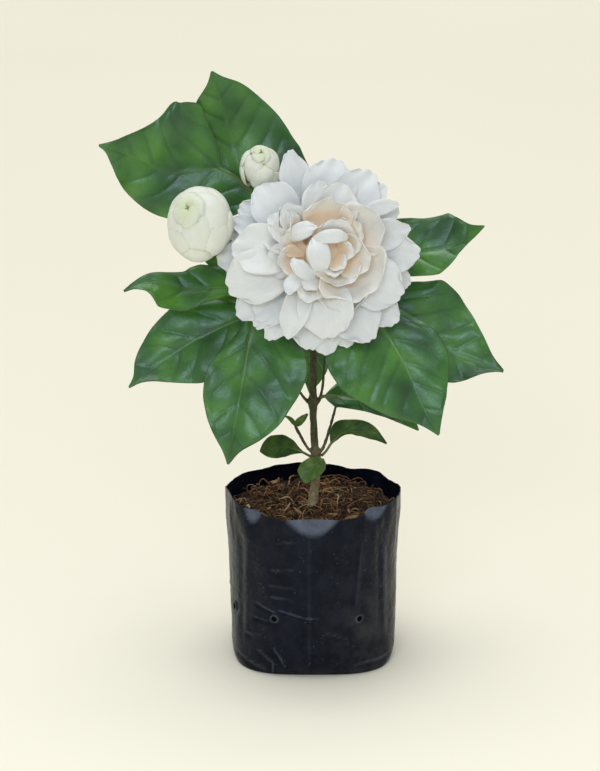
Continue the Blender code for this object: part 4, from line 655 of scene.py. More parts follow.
# Creases as start and end across and up, width and depth
FRONT_CREASES = (
    ((-26.5, 34.6), (-19.1, 32.1), 0.8, 0.5), ((-19.4, 39.2), (-10.1, 38.5), 0.9, 0.45),
    ((-15.6, 33.0), (-4.0, 30.0), 0.9, 0.5), ((-4.0, 30.0), (2.1, 30.0), 0.8, 0.35),
    ((-20.2, 44.7), (-10.1, 44.4), 1.0, 0.35), ((-19.4, 52.7), (-9.5, 54.0), 1.0, 0.35),
    ((-15.5, 67.2), (-9.4, 68.4), 0.9, 0.4), ((-27.3, 27.3), (-20.3, 27.0), 0.8, 0.35),
    ((-30.8, 17.6), (-25.0, 18.4), 0.8, 0.4), ((-26.6, 11.1), (-20.4, 6.0), 0.8, 0.7),
    ((-20.4, 6.0), (-20.4, 1.6), 0.7, 0.6), ((-19.5, 13.4), (-17.2, 10.0), 0.7, 0.6),
    ((-17.2, 10.0), (-14.9, 4.7), 0.7, 0.6), ((-35.6, 5.6), (-24.4, 1.6), 0.9, 0.5),
    ((21.2, 4.1), (35.8, 5.0), 0.9, 0.6), ((-4.0, 68.0), (-4.0, 12.6), 1.2, 0.28),
    ((20.0, 66.0), (17.5, 36.0), 1.3, 0.3), ((30.5, 62.0), (31.5, 22.0), 1.2, 0.35),
    ((-33.5, 66.0), (-34.0, 20.0), 1.2, 0.3), ((6.0, 22.0), (15.0, 18.5), 0.9, 0.35),
    ((24.5, 45.0), (31.0, 41.5), 0.8, 0.35), ((9.5, 60.0), (16.5, 57.0), 0.9, 0.3),
)
REAR_CREASES = (
    ((-24.0, 40.0), (-12.0, 36.0), 0.9, 0.45), ((4.0, 52.0), (16.0, 49.0), 1.0, 0.4),
    ((-8.0, 62.0), (3.0, 65.0), 0.9, 0.4), ((18.0, 26.0), (29.0, 22.0), 0.9, 0.5),
    ((-30.0, 14.0), (-18.0, 9.0), 0.9, 0.6), ((8.0, 9.0), (21.0, 4.5), 0.9, 0.6),
    ((0.0, 70.0), (1.0, 14.0), 1.3, 0.3), ((-20.0, 64.0), (-23.0, 30.0), 1.3, 0.3),
    ((24.0, 66.0), (22.0, 34.0), 1.2, 0.3),
)

# Loose fibres and chips on the growing medium, the radius of the field they lie in, and the least
# and most of their sizes
STRAND_COUNT = 900
STRAND_FIELD = 36.0
STRAND_INSET = 0.7
STRAND_SIDES = 5
LONG_STRANDS = (9.0, 19.0)
SHORT_STRANDS = (3.0, 8.0)
LOW_STRANDS = (0.2, 2.4)
HIGH_STRANDS = (2.0, 5.0)
THIN_STRANDS = (0.13, 0.26)
THICK_STRANDS = (0.26, 0.5)
CHIP_COUNT = 60
CHIP_FIELD = 35.0
CHIP_SIZES = (0.7, 2.3)
CHIP_TONES = (0.05, 0.2, 0.35, 0.45, 0.8)
CHIP_LENGTH = (0.8, 1.5)
CHIP_WIDTH = (0.4, 0.8)
CHIP_HEIGHT = (0.25, 0.55)
CHIP_LIFT = (-0.4, 0.9)

# Tints in linear light
SHEEN_TINT = (0.7, 0.88, 0.9)
# Upper faces of leaves: dark, middle, light, painted shade for vein grooves and veinlets, roughness and
# gloss
GREEN_FACE = (
    (0.013, 0.06, 0.007), (0.034, 0.132, 0.014), (0.075, 0.225, 0.018), (0.01, 0.045, 0.007), 0.37, 0.75,
)
OLIVE_FACE = (
    (0.016, 0.042, 0.004), (0.03, 0.075, 0.006), (0.06, 0.115, 0.012), (0.02, 0.045, 0.01), 0.5, 0.3,
)
YOUNG_FACE = (
    (0.04, 0.085, 0.01), (0.07, 0.135, 0.018), (0.12, 0.2, 0.035), (0.06, 0.11, 0.025), 0.5, 0.35,
)
UNDER_MID = (0.05, 0.13, 0.035)
UNDER_LIGHT = (0.1, 0.21, 0.07)
PALE_RIB = (0.17, 0.27, 0.08)
RIM_RED = (0.06, 0.04, 0.018)
PETAL_CREAM = (0.83, 0.81, 0.75)
PETAL_COOL = (0.74, 0.765, 0.78)
PETAL_SHADE = (0.64, 0.665, 0.675)
# Peach tint and painted warm shade deep in the bloom
PETAL_PEACH_AND_SHADE = (0.86, 0.78, 0.67)
PETAL_DEEP_SHADE = (0.89, 0.71, 0.52)
BUD_CREAM = (0.78, 0.79, 0.74)
BUD_SHADE = (0.7, 0.73, 0.6)
BUD_GREEN = (0.56, 0.65, 0.36)
# Painted shade for bud petals that lie deep in the seams between them
BUD_SEAM_SHADE = (0.36, 0.42, 0.28)
DUST_TINT = (0.16, 0.15, 0.135)
# Painted sheen on the film's dents, crease ridges and hole rings
PAINTED_SHEEN_TINT = (0.125, 0.145, 0.195)
# Tints along a noise, each with its place
STALK_TINTS = ((0.3, (0.075, 0.115, 0.028)), (0.55, (0.15, 0.19, 0.055)), (0.75, (0.2, 0.16, 0.07)))
CALYX_TINTS = ((0.3, (0.13, 0.22, 0.035)), (0.55, (0.24, 0.34, 0.08)), (0.8, (0.4, 0.46, 0.17)))
FILM_TINTS = ((0.35, (0.003, 0.0048, 0.0115)), (0.65, (0.006, 0.0088, 0.0185)))
BARK_LOW_TINTS = ((0.3, (0.2, 0.15, 0.08)), (0.5, (0.36, 0.28, 0.155)), (0.72, (0.52, 0.43, 0.28)))
BARK_HIGH_TINTS = ((0.3, (0.022, 0.024, 0.01)), (0.5, (0.055, 0.057, 0.024)), (0.72, (0.12, 0.115, 0.055)))
SOIL_TINTS = (
    (0.0, (0.008, 0.005, 0.003)), (0.25, (0.028, 0.015, 0.008)), (0.48, (0.1, 0.052, 0.024)),
    (0.66, (0.19, 0.088, 0.036)), (0.84, (0.32, 0.19, 0.095)), (1.0, (0.5, 0.37, 0.21)),
)
# Heights between which the bark turns from brown to green
BARK_CHANGE = (90.0, 106.0)
FLOOR_LOW = (0.86, 0.835, 0.715)
FLOOR_HIGH = (0.88, 0.855, 0.735)

# Light and camera, in metres and degrees
SKY_TINT = (1.0, 0.99, 0.96)
SKY_STRENGTH = 0.46
KEY_POWER = 1.7
KEY_TINT = (1.0, 0.985, 0.95)
KEY_FROM = (-0.06, 0.17, 1.5)
KEY_SPREAD = 46.0
FILL_POWER = 0.06
FILL_TINT = (0.78, 0.89, 1.0)
FILL_FROM = (0.9, -0.9, 0.9)
FILL_SPREAD = 60.0
FRONT_POWER = 4.2
FRONT_FROM = (-0.16, -1.1, 0.77)
FRONT_SIZE = (0.7, 0.3)
LIGHT_TARGET = (0.0, 0.0, 0.15)
FLOOR_HALF = 8.0
CAMERA_LENS = 100.0
CAMERA_SENSOR = 36.0
CAMERA_TARGET = (-0.0063, 0.0, 0.1327)
CAMERA_DISTANCE = 1.0
CAMERA_ELEVATION = 18.0


# Curve helpers
def shares_along(pts):
    reach = np.concatenate([[0.0], np.cumsum(np.linalg.norm(np.diff(pts, axis=0), axis=1))])
    return reach / reach[-1]


# Weights of a smooth curve between two knots: first value, first slope, second value, second slope
def knot_weights(knots, at):
    k = np.clip(np.searchsorted(knots, at, side="right") - 1, 0, len(knots) - 2)
    h = knots[k + 1] - knots[k]
    t = (at - knots[k]) / h
    first = (2 * t**3 - 3 * t**2 + 1, (t**3 - 2 * t**2 + t) * h)
    return k, *first, -2 * t**3 + 3 * t**2, (t**3 - t**2) * h


# Curve through values that never swings past them
def steady_curve(stations, values, at):
    x = np.array(stations, float)
    y = np.array(values, float)
    slope = np.diff(y) / np.diff(x)
    tangent = np.zeros_like(y)
    for i in range(1, len(y) - 1):
        if slope[i - 1] * slope[i] > 0.0:
            tangent[i] = 2.0 * slope[i - 1] * slope[i] / (slope[i - 1] + slope[i])
    tangent[0] = slope[0]
    tangent[-1] = slope[-1]
    k, a, b, c, d = knot_weights(x, np.clip(at, x[0], x[-1]))
    return a * y[k] + b * tangent[k] + (c * y[k + 1] + d * tangent[k + 1])


# Smooth line through points in space, at shares of its length
def flowing_line(points, at):
    pts = np.array(points, float)
    knots = shares_along(pts)
    tangent = np.zeros_like(pts)
    for i in range(1, len(pts) - 1):
        tangent[i] = (pts[i + 1] - pts[i - 1]) / (knots[i + 1] - knots[i - 1])
    first = (pts[1] - pts[0]) / (knots[1] - knots[0])
    last = (pts[-1] - pts[-2]) / (knots[-1] - knots[-2])
    tangent[0] = 1.5 * first - 0.5 * tangent[1] if len(pts) > 2 else first
    tangent[-1] = 1.5 * last - 0.5 * tangent[-2] if len(pts) > 2 else last
    k, *weights = knot_weights(knots, np.atleast_1d(np.clip(at, 0.0, 1.0)))
    a, b, c, d = (weight[:, None] for weight in weights)
    return a * pts[k] + b * tangent[k] + c * pts[k + 1] + d * tangent[k + 1]


def unit(rows):
    return rows / np.maximum(np.linalg.norm(rows, axis=-1, keepdims=True), 1e-9)


def ease(low, high, value):
    t = np.clip((value - low) / (high - low), 0.0, 1.0)
    return t * t * (3.0 - 2.0 * t)


# Bell round zero that falls to about a third at the given reach
def bell(value, reach):
    return np.exp(-((value / reach) ** 2))


# Smooth noise at many points: size is the distance between its bumps
def soft_noise(points, size, octaves=2, seed=0.0):
    shift = Vector((seed * 7.3, seed * 3.1, seed * 5.7))
    return np.array([noise.fractal(Vector(p) / size + shift, 1.0, 2.0, octaves) for p in points])


# Mesh helpers
def mesh_object(name, points, faces, materials, marks, face_slots=None):
    mesh = bpy.data.meshes.new(name)
    corners = [tuple(int(i) for i in face) for face in faces]
    mesh.from_pydata([tuple(p) for p in np.asarray(points) * MM], [], corners)
    mesh.update()
    for label, values in marks.items():
        kind, field = ("FLOAT_VECTOR", "vector") if values.ndim == 2 else ("FLOAT", "value")
        layer = mesh.attributes.new(label, kind, "POINT")
        layer.data.foreach_set(field, values.ravel())
    for material in materials:
        mesh.materials.append(material)
    if face_slots is not None:
        mesh.polygons.foreach_set("material_index", np.asarray(face_slots, dtype=np.int32))
    mesh.polygons.foreach_set("use_smooth", np.ones(len(mesh.polygons), dtype=bool))
    return shown(name, mesh)


def shown(name, data):
    item = bpy.data.objects.new(name, data)
    bpy.context.scene.collection.objects.link(item)
    return item


# Gathers several parts into one mesh with shared marks
class Gatherer:
    def __init__(self):
        self.points = []
        self.faces = []
        self.slots = []
        self.marks = {}
        self.count = 0

    def add(self, points, faces, marks, slot=0):
        self.points.append(points)
        self.faces += [tuple(int(i) + self.count for i in face) for face in faces]
        self.slots += slot if isinstance(slot, list) else [slot] * len(faces)
        for label, values in marks.items():
            if np.ndim(values) == 0:
                values = np.full(len(points), float(values))
            self.marks.setdefault(label, []).append(values)
        self.count += len(points)

    def build(self, name, materials):
        marks = {label: np.concatenate(rows) for label, rows in self.marks.items()}
        return mesh_object(name, np.concatenate(self.points), self.faces, materials, marks, self.slots)


def grid_params(along, across):
    u = np.linspace(0.0, 1.0, along + 1)
    v = np.linspace(-1.0, 1.0, across + 1)
    uu, vv = np.meshgrid(u, v, indexing="ij")
    return uu.ravel(), vv.ravel()


def grid_normals(points, along, across):
    grid = points.reshape(along + 1, across + 1, 3)
    du = np.gradient(grid, axis=0)
    dv = np.gradient(grid, axis=1)
    return unit(np.cross(du, dv).reshape(-1, 3))


# Marks of a middle surface for both sheets of its blade
def both_sheets(marks):
    return {label: np.concatenate([values, values]) for label, values in marks.items()}


# Faces of a thin blade: upper sheet, lower sheet and the rim between them
def blade_faces(along, across):
    wide = across + 1
    i, j = np.meshgrid(np.arange(along), np.arange(across), indexing="ij")
    a = (i * wide + j).ravel()
    upper = np.stack([a, a + wide, a + wide + 1, a + 1], axis=1)
    under = (along + 1) * wide
    lower = upper[:, ::-1] + under
    ring = list(range(wide))
    ring += [i * wide + across for i in range(1, along + 1)]
    ring += [along * wide + j for j in range(across - 1, -1, -1)]
    ring += [i * wide for i in range(along - 1, 0, -1)]
    rim = []
    for first, second in zip(ring, ring[1:] + ring[:1]):
        rim.append((first, second, second + under, first + under))
    return np.concatenate([upper, lower, np.array(rim)])


# Thick blade from a middle surface; relief lifts both faces, ridge thickens the under face only
def blade(points, normals, along, across, thick, relief=0.0, ridge=0.0):
    upper = points + normals * (thick / 2.0 + relief)[:, None]
    lower = points - normals * (thick / 2.0 - relief + ridge)[:, None]
    faces = blade_faces(along, across)
    a, b, c = (upper[faces[: along * across, k]] for k in (0, 1, 2))
    outward = normals[faces[: along * across, 0]]
    if np.sum(np.cross(b - a, c - a) * outward) < 0.0:
        faces = faces[:, ::-1]
    return np.concatenate([upper, lower]), faces


# Quads between rings of points that follow each other
def ring_faces(rings, columns):
    faces = []
    for i in range(rings - 1):
        for k in range(columns):
            n = (k + 1) % columns
            faces.append((i * columns + k, i * columns + n, (i + 1) * columns + n, (i + 1) * columns + k))
    return faces


# The same with both ends closed on two last points, the first ring's and the last ring's
def capped_rings(rings, columns):
    faces = ring_faces(rings, columns)
    low = rings * columns
    last = low - columns
    for k in range(columns):
        n = (k + 1) % columns
        faces.append((low, n, k))
        faces.append((low + 1, last + k, last + n))
    return faces


def ring_at(azimuth, radius, height):
    height = np.broadcast_to(height, azimuth.shape)
    return np.stack([radius * np.cos(azimuth), radius * np.sin(azimuth), height], axis=1)


# Round tube along points, with a rounded cap at each end
def tube(points, radii, sides):
    ahead = unit(np.gradient(points, axis=0))
    side = unit(np.cross(ahead[0], (0.3, 0.9, 0.2)))
    rings = []
    turn = np.linspace(0.0, math.tau, sides, endpoint=False)[:, None]
    for place, forward, radius in zip(points, ahead, radii):
        side = unit(side - forward * float(np.dot(side, forward)))
        other = np.cross(forward, side)
        rings.append(place + radius * (np.cos(turn) * side + np.sin(turn) * other))
    first = points[0] - ahead[0] * radii[0] * 0.5
    last = points[-1] + ahead[-1] * radii[-1] * 0.5
    return np.concatenate(rings + [[first], [last]]), capped_rings(len(rings), sides)


# Share of a tube's length at each of its points
def tube_shares(at, sides):
    return np.concatenate([np.repeat(at, sides), [0.0, 1.0]])


def spread_tube(points, radii, count, sides):
    at = np.linspace(0.0, 1.0, count)
    widths = steady_curve(shares_along(np.array(points, float)), radii, at)
    verts, faces = tube(flowing_line(points, at), widths, sides)
    return verts, faces, tube_shares(at, sides)


# Material helpers
class Paint:
    def __init__(self, name, roughness, **settings):
        self.material = bpy.data.materials.new(name)
        self.material.use_nodes = True
        self.tree = self.material.node_tree
        self.shader = self.tree.nodes["Principled BSDF"]
        self.shader.inputs["Roughness"].default_value = roughness
        for label, value in settings.items():
            self.shader.inputs[label.replace("_", " ")].default_value = value

    def node(self, kind, inputs=(), **props):
        made = self.tree.nodes.new(kind)
        for label, value in props.items():
            setattr(made, label, value)
        for label, value in dict(inputs).items():
            self.feed(made.inputs[label], value)
        return made

    def feed(self, socket, value):
        if isinstance(value, bpy.types.NodeSocket):
            self.tree.links.new(value, socket)
        elif isinstance(value, tuple) and len(value) == 3 and socket.type == "RGBA":
            socket.default_value = (*value, 1.0)
        else:
            socket.default_value = value

    def mark(self, label, output="Fac"):
        return self.node("ShaderNodeAttribute", attribute_name=label).outputs[output]

    def grain(self):
        return self.mark("grain", "Vector")

    def place(self):
        return self.node("ShaderNodeTexCoord").outputs["Object"]

    def noise(self, scale, detail=3.0, roughness=0.55, vector=None):
        inputs = {"Scale": scale, "Detail": detail, "Roughness": roughness}
        inputs["Vector"] = vector if vector is not None else self.place()
        return self.node("ShaderNodeTexNoise", inputs).outputs["Fac"]

    def cells(self, scale, feature="F1", vector=None):
        inputs = {"Scale": scale, "Vector": vector if vector is not None else self.place()}
        return self.node("ShaderNodeTexVoronoi", inputs, feature=feature).outputs["Distance"]

    def ramp(self, value, stops):
        made = self.node("ShaderNodeValToRGB", {"Fac": value})
        elements = made.color_ramp.elements
        while len(elements) < len(stops):
            elements.new(0.5)
        for element, (spot, colour) in zip(elements, stops):
            element.position = spot
            element.color = (*colour, 1.0)
        return made.outputs["Color"]

    def stretch(self, value, low, high, out_low=0.0, out_high=1.0):
        inputs = {"Value": value, "From Min": low, "From Max": high, "To Min": out_low, "To Max": out_high}
        return self.node("ShaderNodeMapRange", inputs, clamp=True).outputs["Result"]

    def math(self, operation, first, second):
        made = self.node("ShaderNodeMath", operation=operation)
        self.feed(made.inputs[0], first)
        self.feed(made.inputs[1], second)
        return made.outputs["Value"]

    def times(self, first, second):
        return self.math("MULTIPLY", first, second)

    def plus(self, first, second):
        return self.math("ADD", first, second)

    def mix(self, factor, first, second):
        made = self.node("ShaderNodeMix", data_type="RGBA")
        self.feed(made.inputs[0], factor)
        self.feed(made.inputs[6], first)
        self.feed(made.inputs[7], second)
        return made.outputs[2]

    def colour(self, value):
        self.feed(self.shader.inputs["Base Color"], value)

    def rough(self, value):
        self.feed(self.shader.inputs["Roughness"], value)

    def bump(self, height, distance, strength, before=None):
        made = self.node("ShaderNodeBump", {"Height": height, "Distance": distance, "Strength": strength})
        if before is not None:
            self.feed(made.inputs["Normal"], before)
        self.feed(self.shader.inputs["Normal"], made.outputs["Normal"])
        return made.outputs["Normal"]


# Leaf blades
def leaf_middle(spec, u, v):
    step = spec.get("steady", CROSS_LINE_STEP)
    place = flowing_line(spec["midrib"], u)
    ahead = flowing_line(spec["midrib"], np.minimum(u + step, 1.0))
    behind = flowing_line(spec["midrib"], np.maximum(u - step, 0.0))
    tangent = unit(ahead - behind)
    face = np.array(spec["face"], float)
    side = unit(np.cross(tangent, np.broadcast_to(face, tangent.shape)))
    normal = np.cross(side, tangent)
    plus = steady_curve(*zip(*spec["clockwise"]), u)
    minus = steady_curve(*zip(*spec["other"]), u)
    width = np.where(v >= 0.0, plus, minus)
    reach = np.abs(v)
    phase = np.where(v >= 0.0, *WAVE_PHASES)
    swell = np.sin(math.tau * spec["waves"] * u + phase)
    ripple = np.sin(math.tau * RIPPLE_PACE * spec["waves"] * u + 3.0 * phase)
    fade = np.clip(width / WAVE_FULL_WIDTH, 0.0, 1.0)
    lift = width * reach * math.tan(math.radians(spec["fold"])) * (1.0 - BLADE_ARCH * reach)
    lift = lift + spec["wave"] * reach**2 * (swell + RIPPLE_SHARE * reach * ripple) * fade
    return place + side * (v * width)[:, None] + normal * lift[:, None], width


# Veins that leave the midrib, lean towards the tip and arch: where each starts, share of the way
# between two of them, and how near the next one is
def lateral_veins(spec, u, v, off, length, draw):
    lean = np.zeros_like(u)
    nearest = np.zeros_like(u)
    share = np.zeros_like(u)
    pace = length / VEIN_COUNT
    for outline, here in ((spec["clockwise"], v >= 0.0), (spec["other"], v < 0.0)):
        arch = VEIN_ARCH / max(max(width for _, width in outline), VEIN_ARCH_WIDTH)
        start = (u * length - VEIN_LEAN * off - arch * off**2)[here]
        starts = np.arange(VEIN_FIRST * length, VEIN_LAST * length, pace)
        stray = np.array([draw.uniform(-VEIN_STRAY, VEIN_STRAY) * pace for _ in starts])
        starts = starts + stray + VEIN_SHIFT * pace
        index = np.clip(np.searchsorted(starts, start) - 1, 0, len(starts) - 2)
        low = starts[index]
        high = starts[index + 1]
        share[here] = np.clip((start - low) / (high - low), 0.0, 1.0)
        nearest[here] = np.minimum(np.abs(start - low), np.abs(start - high)) * VEIN_SLANT
        lean[here] = start
    return lean, share, nearest


def add_leaf(parts, spec, seed, grid, thick):
    draw = random.Random(seed)
    u, v = grid_params(*grid)
    middle, width = leaf_middle(spec, u, v)
    normals = -grid_normals(middle, *grid)
    line = flowing_line(spec["midrib"], np.linspace(0.0, 1.0, 60))
    length = float(np.linalg.norm(np.diff(line, axis=0), axis=1).sum())
    scale = min(1.0, length / FULL_LEAF)
    reach = np.abs(v)
    off = reach * width
    edge = (1.0 - reach) * width
    lean, share, nearest = lateral_veins(spec, u, v, off, length, draw)
    groove = bell(nearest, scale * (1.05 - 0.5 * reach)) * (1.0 - 0.55 * reach) * ease(0.0, 0.05, reach)
    groove = groove * (1.0 - ease(0.86, 0.98, reach))
    rib = bell(off, RIB_HALF_WIDTH * scale) * (1.0 - 0.55 * u)
    dome = 4.0 * share * (1.0 - share) * ease(0.02, 0.3, reach) * (1.0 - ease(0.72, 1.0, reach))
    crumple = 0.8 * soft_noise(middle, CRUMPLE_SIZE * scale, 1, seed)
    crumple = crumple + 0.2 * soft_noise(middle, SMALL_CRUMPLE_SIZE * scale, 1, seed)
    relief = scale * (QUILT * dome - GROOVE * groove - RIB_GROOVE * rib)
    relief = relief + scale * CRUMPLE * crumple * (1.0 - ease(0.8, 1.0, reach)) * (1.0 - rib)
    ridge = scale * (RIB_RIDGE * rib + VEIN_RIDGE * groove)
    thin = thick * (0.55 + 0.45 * ease(0.0, RIM_WIDTH, edge))
    points, faces = blade(middle, normals, *grid, thin, relief, ridge)
    tone = soft_noise(middle, TONE_SIZE * scale, 2, seed + 2.0)
    rim = 1.0 - ease(0.0, 0.5 * scale + 0.12, edge)
    marks = {
        "vein": groove, "rib": rib, "along": u, "tone": 0.5 + 0.5 * tone, "rim": rim,
        "grain": np.stack([lean, off * np.sign(v + 1e-6) + 40.0, np.full_like(lean, seed * 3.0)], axis=1),
    }
    count = grid[0] * grid[1]
    slots = [0] * count + [1] * count + [0] * (len(faces) - 2 * count)
    parts.add(points, faces, both_sheets(marks), slots)


# Stalk that enters the blade from below and runs out along its midrib
def leaf_stalk(parts, spec, radius):
    under = flowing_line(spec["midrib"], np.array(STALK_UNDER))
    down = -unit(np.array(spec["face"], float)) * radius * STALK_TUCK
    points = [np.array(spot) for spot in spec["stalk"]] + list(under + down)
    if len(spec["stalk"]) == 1:
        points.insert(1, (points[0] * 0.5 + under[0] * 0.5) + np.array((0.0, 0.0, -STALK_SAG)))
    radii = [radius * 1.25] + [radius] * (len(points) - 3) + [radius * 0.6, radius * 0.3]
    verts, faces, along = spread_tube(points, radii, *STALK_GRID)
    marks = {
        "vein": 0.0, "rib": 0.0, "rim": 0.0, "tone": 0.5 + 0.3 * np.sin(along * 9.0), "along": along,
        "grain": np.stack([along * 20.0, verts[:, 0], verts[:, 2]], axis=1),
    }
    parts.add(verts, faces, marks, 2)


def build_leaf(name, seed, materials):
    small = name.startswith("leaf_small")
    grid = SMALL_LEAF_GRID if small else LEAF_GRID
    if name in MIDDLING_LEAVES:
        grid = MIDDLING_LEAF_GRID
    parts = Gatherer()
    add_leaf(parts, LEAVES[name], seed, grid, SMALL_LEAF_THICK if small else LEAF_THICK)
    leaf_stalk(parts, LEAVES[name], SMALL_STALK_RADIUS if small else STALK_RADIUS)
    return parts.build(name + "_fine", materials)


# Bloom: its own axes and its middle
def bloom_frame():
    tilt = math.radians(BLOOM_TILT)
    up = (0.0, math.sin(tilt), math.cos(tilt))
    out = (0.0, -math.cos(tilt), math.sin(tilt))
    return np.array([(1.0, 0.0, 0.0), up, out]), np.array(BLOOM_CENTRE)


# Half width along a petal; blunt runs from a rounded tongue to a broad rim
def petal_outline(u, blunt):
    to_widest = np.clip(u / PETAL_WIDEST, 0.0, 1.0)
    rise = PETAL_FOOT_WIDTH + (1.0 - PETAL_FOOT_WIDTH) * np.sin(to_widest * QUARTER_TURN)
    span = 1.0 - PETAL_WIDEST + 0.004 + PETAL_BLUNT_SPAN * blunt
    to_tip = np.clip((u - PETAL_WIDEST) / span, 0.0, 1.0)
    fullness = PETAL_TIP_FULLNESS + PETAL_BLUNT_FULLNESS * blunt
    return rise * np.sqrt(np.maximum(1.0 - to_tip**fullness, 0.0))


# Tangent, across and up of a petal's middle line. Without a face its cross lines stay level
def petal_axes(line, face, run, roll, u):
    ahead = flowing_line(line, np.minimum(run + 0.01, 1.0))
    behind = flowing_line(line, np.clip(run - 0.01, 0.0, 0.98))
    tangent = unit(ahead - behind)
    if face is None:
        flat = np.array(line[-1], float) - np.array(line[0], float)
        across = np.broadcast_to(unit(np.cross(np.array([0.0, 0.0, 1.0]), flat)), tangent.shape)
    else:
        across = unit(np.cross(tangent, np.broadcast_to(np.array(face, float), tangent.shape))) * -1.0
    up = np.cross(tangent, across)
    cos_t = np.cos(math.radians(roll) * u)[:, None]
    sin_t = np.sin(math.radians(roll) * u)[:, None]
    return across * cos_t + up * sin_t, up * cos_t - across * sin_t


# Middle surface of one petal in the bloom's own axes: the lip rolls its rim outwards, the pleat
# sinks lines along it, and a negative cup bends it the other way
def petal_middle(shape, u, v, seed, lip, pleat, blunt):
    line, face, half_width, cup, roll = shape
    half_cup = math.radians(cup)
    draw = np.random.RandomState(seed)
    ruffle = draw.uniform(0.0, math.tau)
    crease = draw.uniform(-0.25, 0.25)
    u = 1.0 - (1.0 - u) ** PETAL_ROW_CROWDING
    side = np.abs(v)
    notch = 0.5 * np.sin(5.0 * v + ruffle) + 0.5 * np.sin(11.0 * v + 2.0 * ruffle)
    depth = PETAL_NOTCH * (1.0 if face is None else HEART_NOTCH_GAIN)
    shoulder = PETAL_SHOULDER + PETAL_BLUNT_SHOULDER * blunt
    run = u * (1.0 - shoulder * side**2.4 * u**2) + depth * notch * u**5
    across, up = petal_axes(line, face, run, roll, u)
    width = half_width * petal_outline(u, blunt)
    arc = half_cup * v
    reach = width * np.sin(arc) / half_cup
    lift = width * (1.0 - np.cos(arc)) / half_cup
    lift = lift + PETAL_RUFFLE * half_width * side**3 * np.sin(5.0 * u + 2.0 * v + ruffle)
    rim = np.maximum(side, u) ** 4
    lift = lift + PETAL_FINE_RUFFLE * half_width * rim * np.sin(9.0 * v + 7.0 * u + 2.0 * ruffle)
    edge = np.maximum(side**2, ease(0.5, 1.0, u))
    lift = lift - lip * ease(0.6, 1.0, edge) ** 1.4 * ease(0.15, 0.6, u)
    lift = lift - pleat * bell(v - crease, PETAL_CREASE_WIDTH) * ease(0.05, 0.4, u) * (1.0 - 0.6 * u)
    lift = lift + 0.6 * pleat * np.cos(6.0 * v + ruffle) * ease(0.2, 0.8, u)
    return flowing_line(line, run) + across * reach[:, None] + up * lift[:, None], u


# Outer petals stand on a ring round the bloom's base, each a little off its even place
def ring_petal(foot_reach, entry, seed):
    height, tip, bulge, half_width, cup, roll = entry
    turn = math.atan2(tip[1], tip[0])
    foot = np.array((foot_reach * math.cos(turn), foot_reach * math.sin(turn), height))
    tip = np.array(tip, float)
    chord = tip - foot
    side = unit(np.cross(np.array([0.0, 0.0, 1.0]), np.array([chord[0], chord[1], 0.0])))
    middle = (foot + tip) / 2.0 - unit(np.cross(chord, side)) * bulge
    draw = np.random.RandomState(seed + 500)
    tip = tip + (0.0, 0.0, draw.uniform(*LOOSE_TIP))
    middle = middle + (0.0, 0.0, draw.uniform(*LOOSE_MIDDLE))
    half_width = half_width * draw.uniform(*LOOSE_WIDTH)
    cup = cup * draw.uniform(*LOOSE_CUP)
    return (foot, middle, tip), None, half_width, cup, roll + draw.uniform(*LOOSE_ROLL)


# The last rows of a round tip are too narrow for their own normals
def petal_normals(points, along, across):
    normals = grid_normals(points, along, across).reshape(along + 1, across + 1, 3)
    normals[-1] = normals[-3]
    normals[-2] = 0.5 * (normals[-3] + normals[-2])
    normals[-1] = unit(normals[-1] * 0.5 + normals[-1].mean(axis=0) * 0.5)
    return unit(normals.reshape(-1, 3))


def add_petal(parts, shape, seed, ring, frame_of, blunt, cool, warmth):
    grid = ring["grid"]
    half_width = shape[2]
    u, v = grid_params(*grid)
    local, run = petal_middle(shape, u, v, seed, ring["lip"], ring["pleat"], blunt)
    normals = petal_normals(local, *grid)
    wrinkle = soft_noise(local, PETAL_WRINKLE_SIZE, 2, seed * 0.37)
    local = local + normals * (PETAL_WRINKLE * wrinkle * ease(0.1, 0.5, run))[:, None]
    thick = PETAL_RIM + PETAL_SWELL * (1.0 - ease(0.7, 1.0, np.maximum(np.abs(v), run)))
    points, faces = blade(local, normals, *grid, thick)
    off = np.hypot(local[:, 0] - WARM_HEART[0], local[:, 1] - WARM_HEART[1])
    # Peach tint with painted warm shade, strongest near the heart and low in the bloom
    deep = bell(off, WARM_REACH) * (1.0 - ease(WARM_LOW, WARM_HIGH, local[:, 2]))
    deep = deep * (1.0 - 0.9 * cool**4)
    deep = np.clip(deep * 0.8 + warmth * (1.0 - ease(0.25, 1.0, run)), 0.0, 1.0)
    grain = np.stack([v * half_width, run * 6.0, np.full(len(u), seed * 5.0)], axis=1)
    marks = {"peach_and_shade": deep, "cool": np.full(len(u), cool), "grain": grain}
    parts.add(points @ frame_of[0] + frame_of[1], faces, both_sheets(marks))


def add_ball(parts, middle, radii, frame_of, marks):
    rings, segments = BALL_GRID
    lat = np.linspace(-QUARTER_TURN, QUARTER_TURN, rings + 1)[1:-1]
    lon = np.linspace(0.0, math.tau, segments, endpoint=False)
    la, lo = np.meshgrid(lat, lon, indexing="ij")
    ball = np.stack([np.cos(la) * np.cos(lo), np.cos(la) * np.sin(lo), np.sin(la)], axis=-1).reshape(-1, 3)
    ball = np.concatenate([ball, [[0.0, 0.0, -1.0], [0.0, 0.0, 1.0]]])
    local = ball * np.array(radii) + np.array(middle)
    faces = capped_rings(rings - 1, segments)
    parts.add(local @ frame_of[0] + frame_of[1], faces, dict(marks, grain=local))


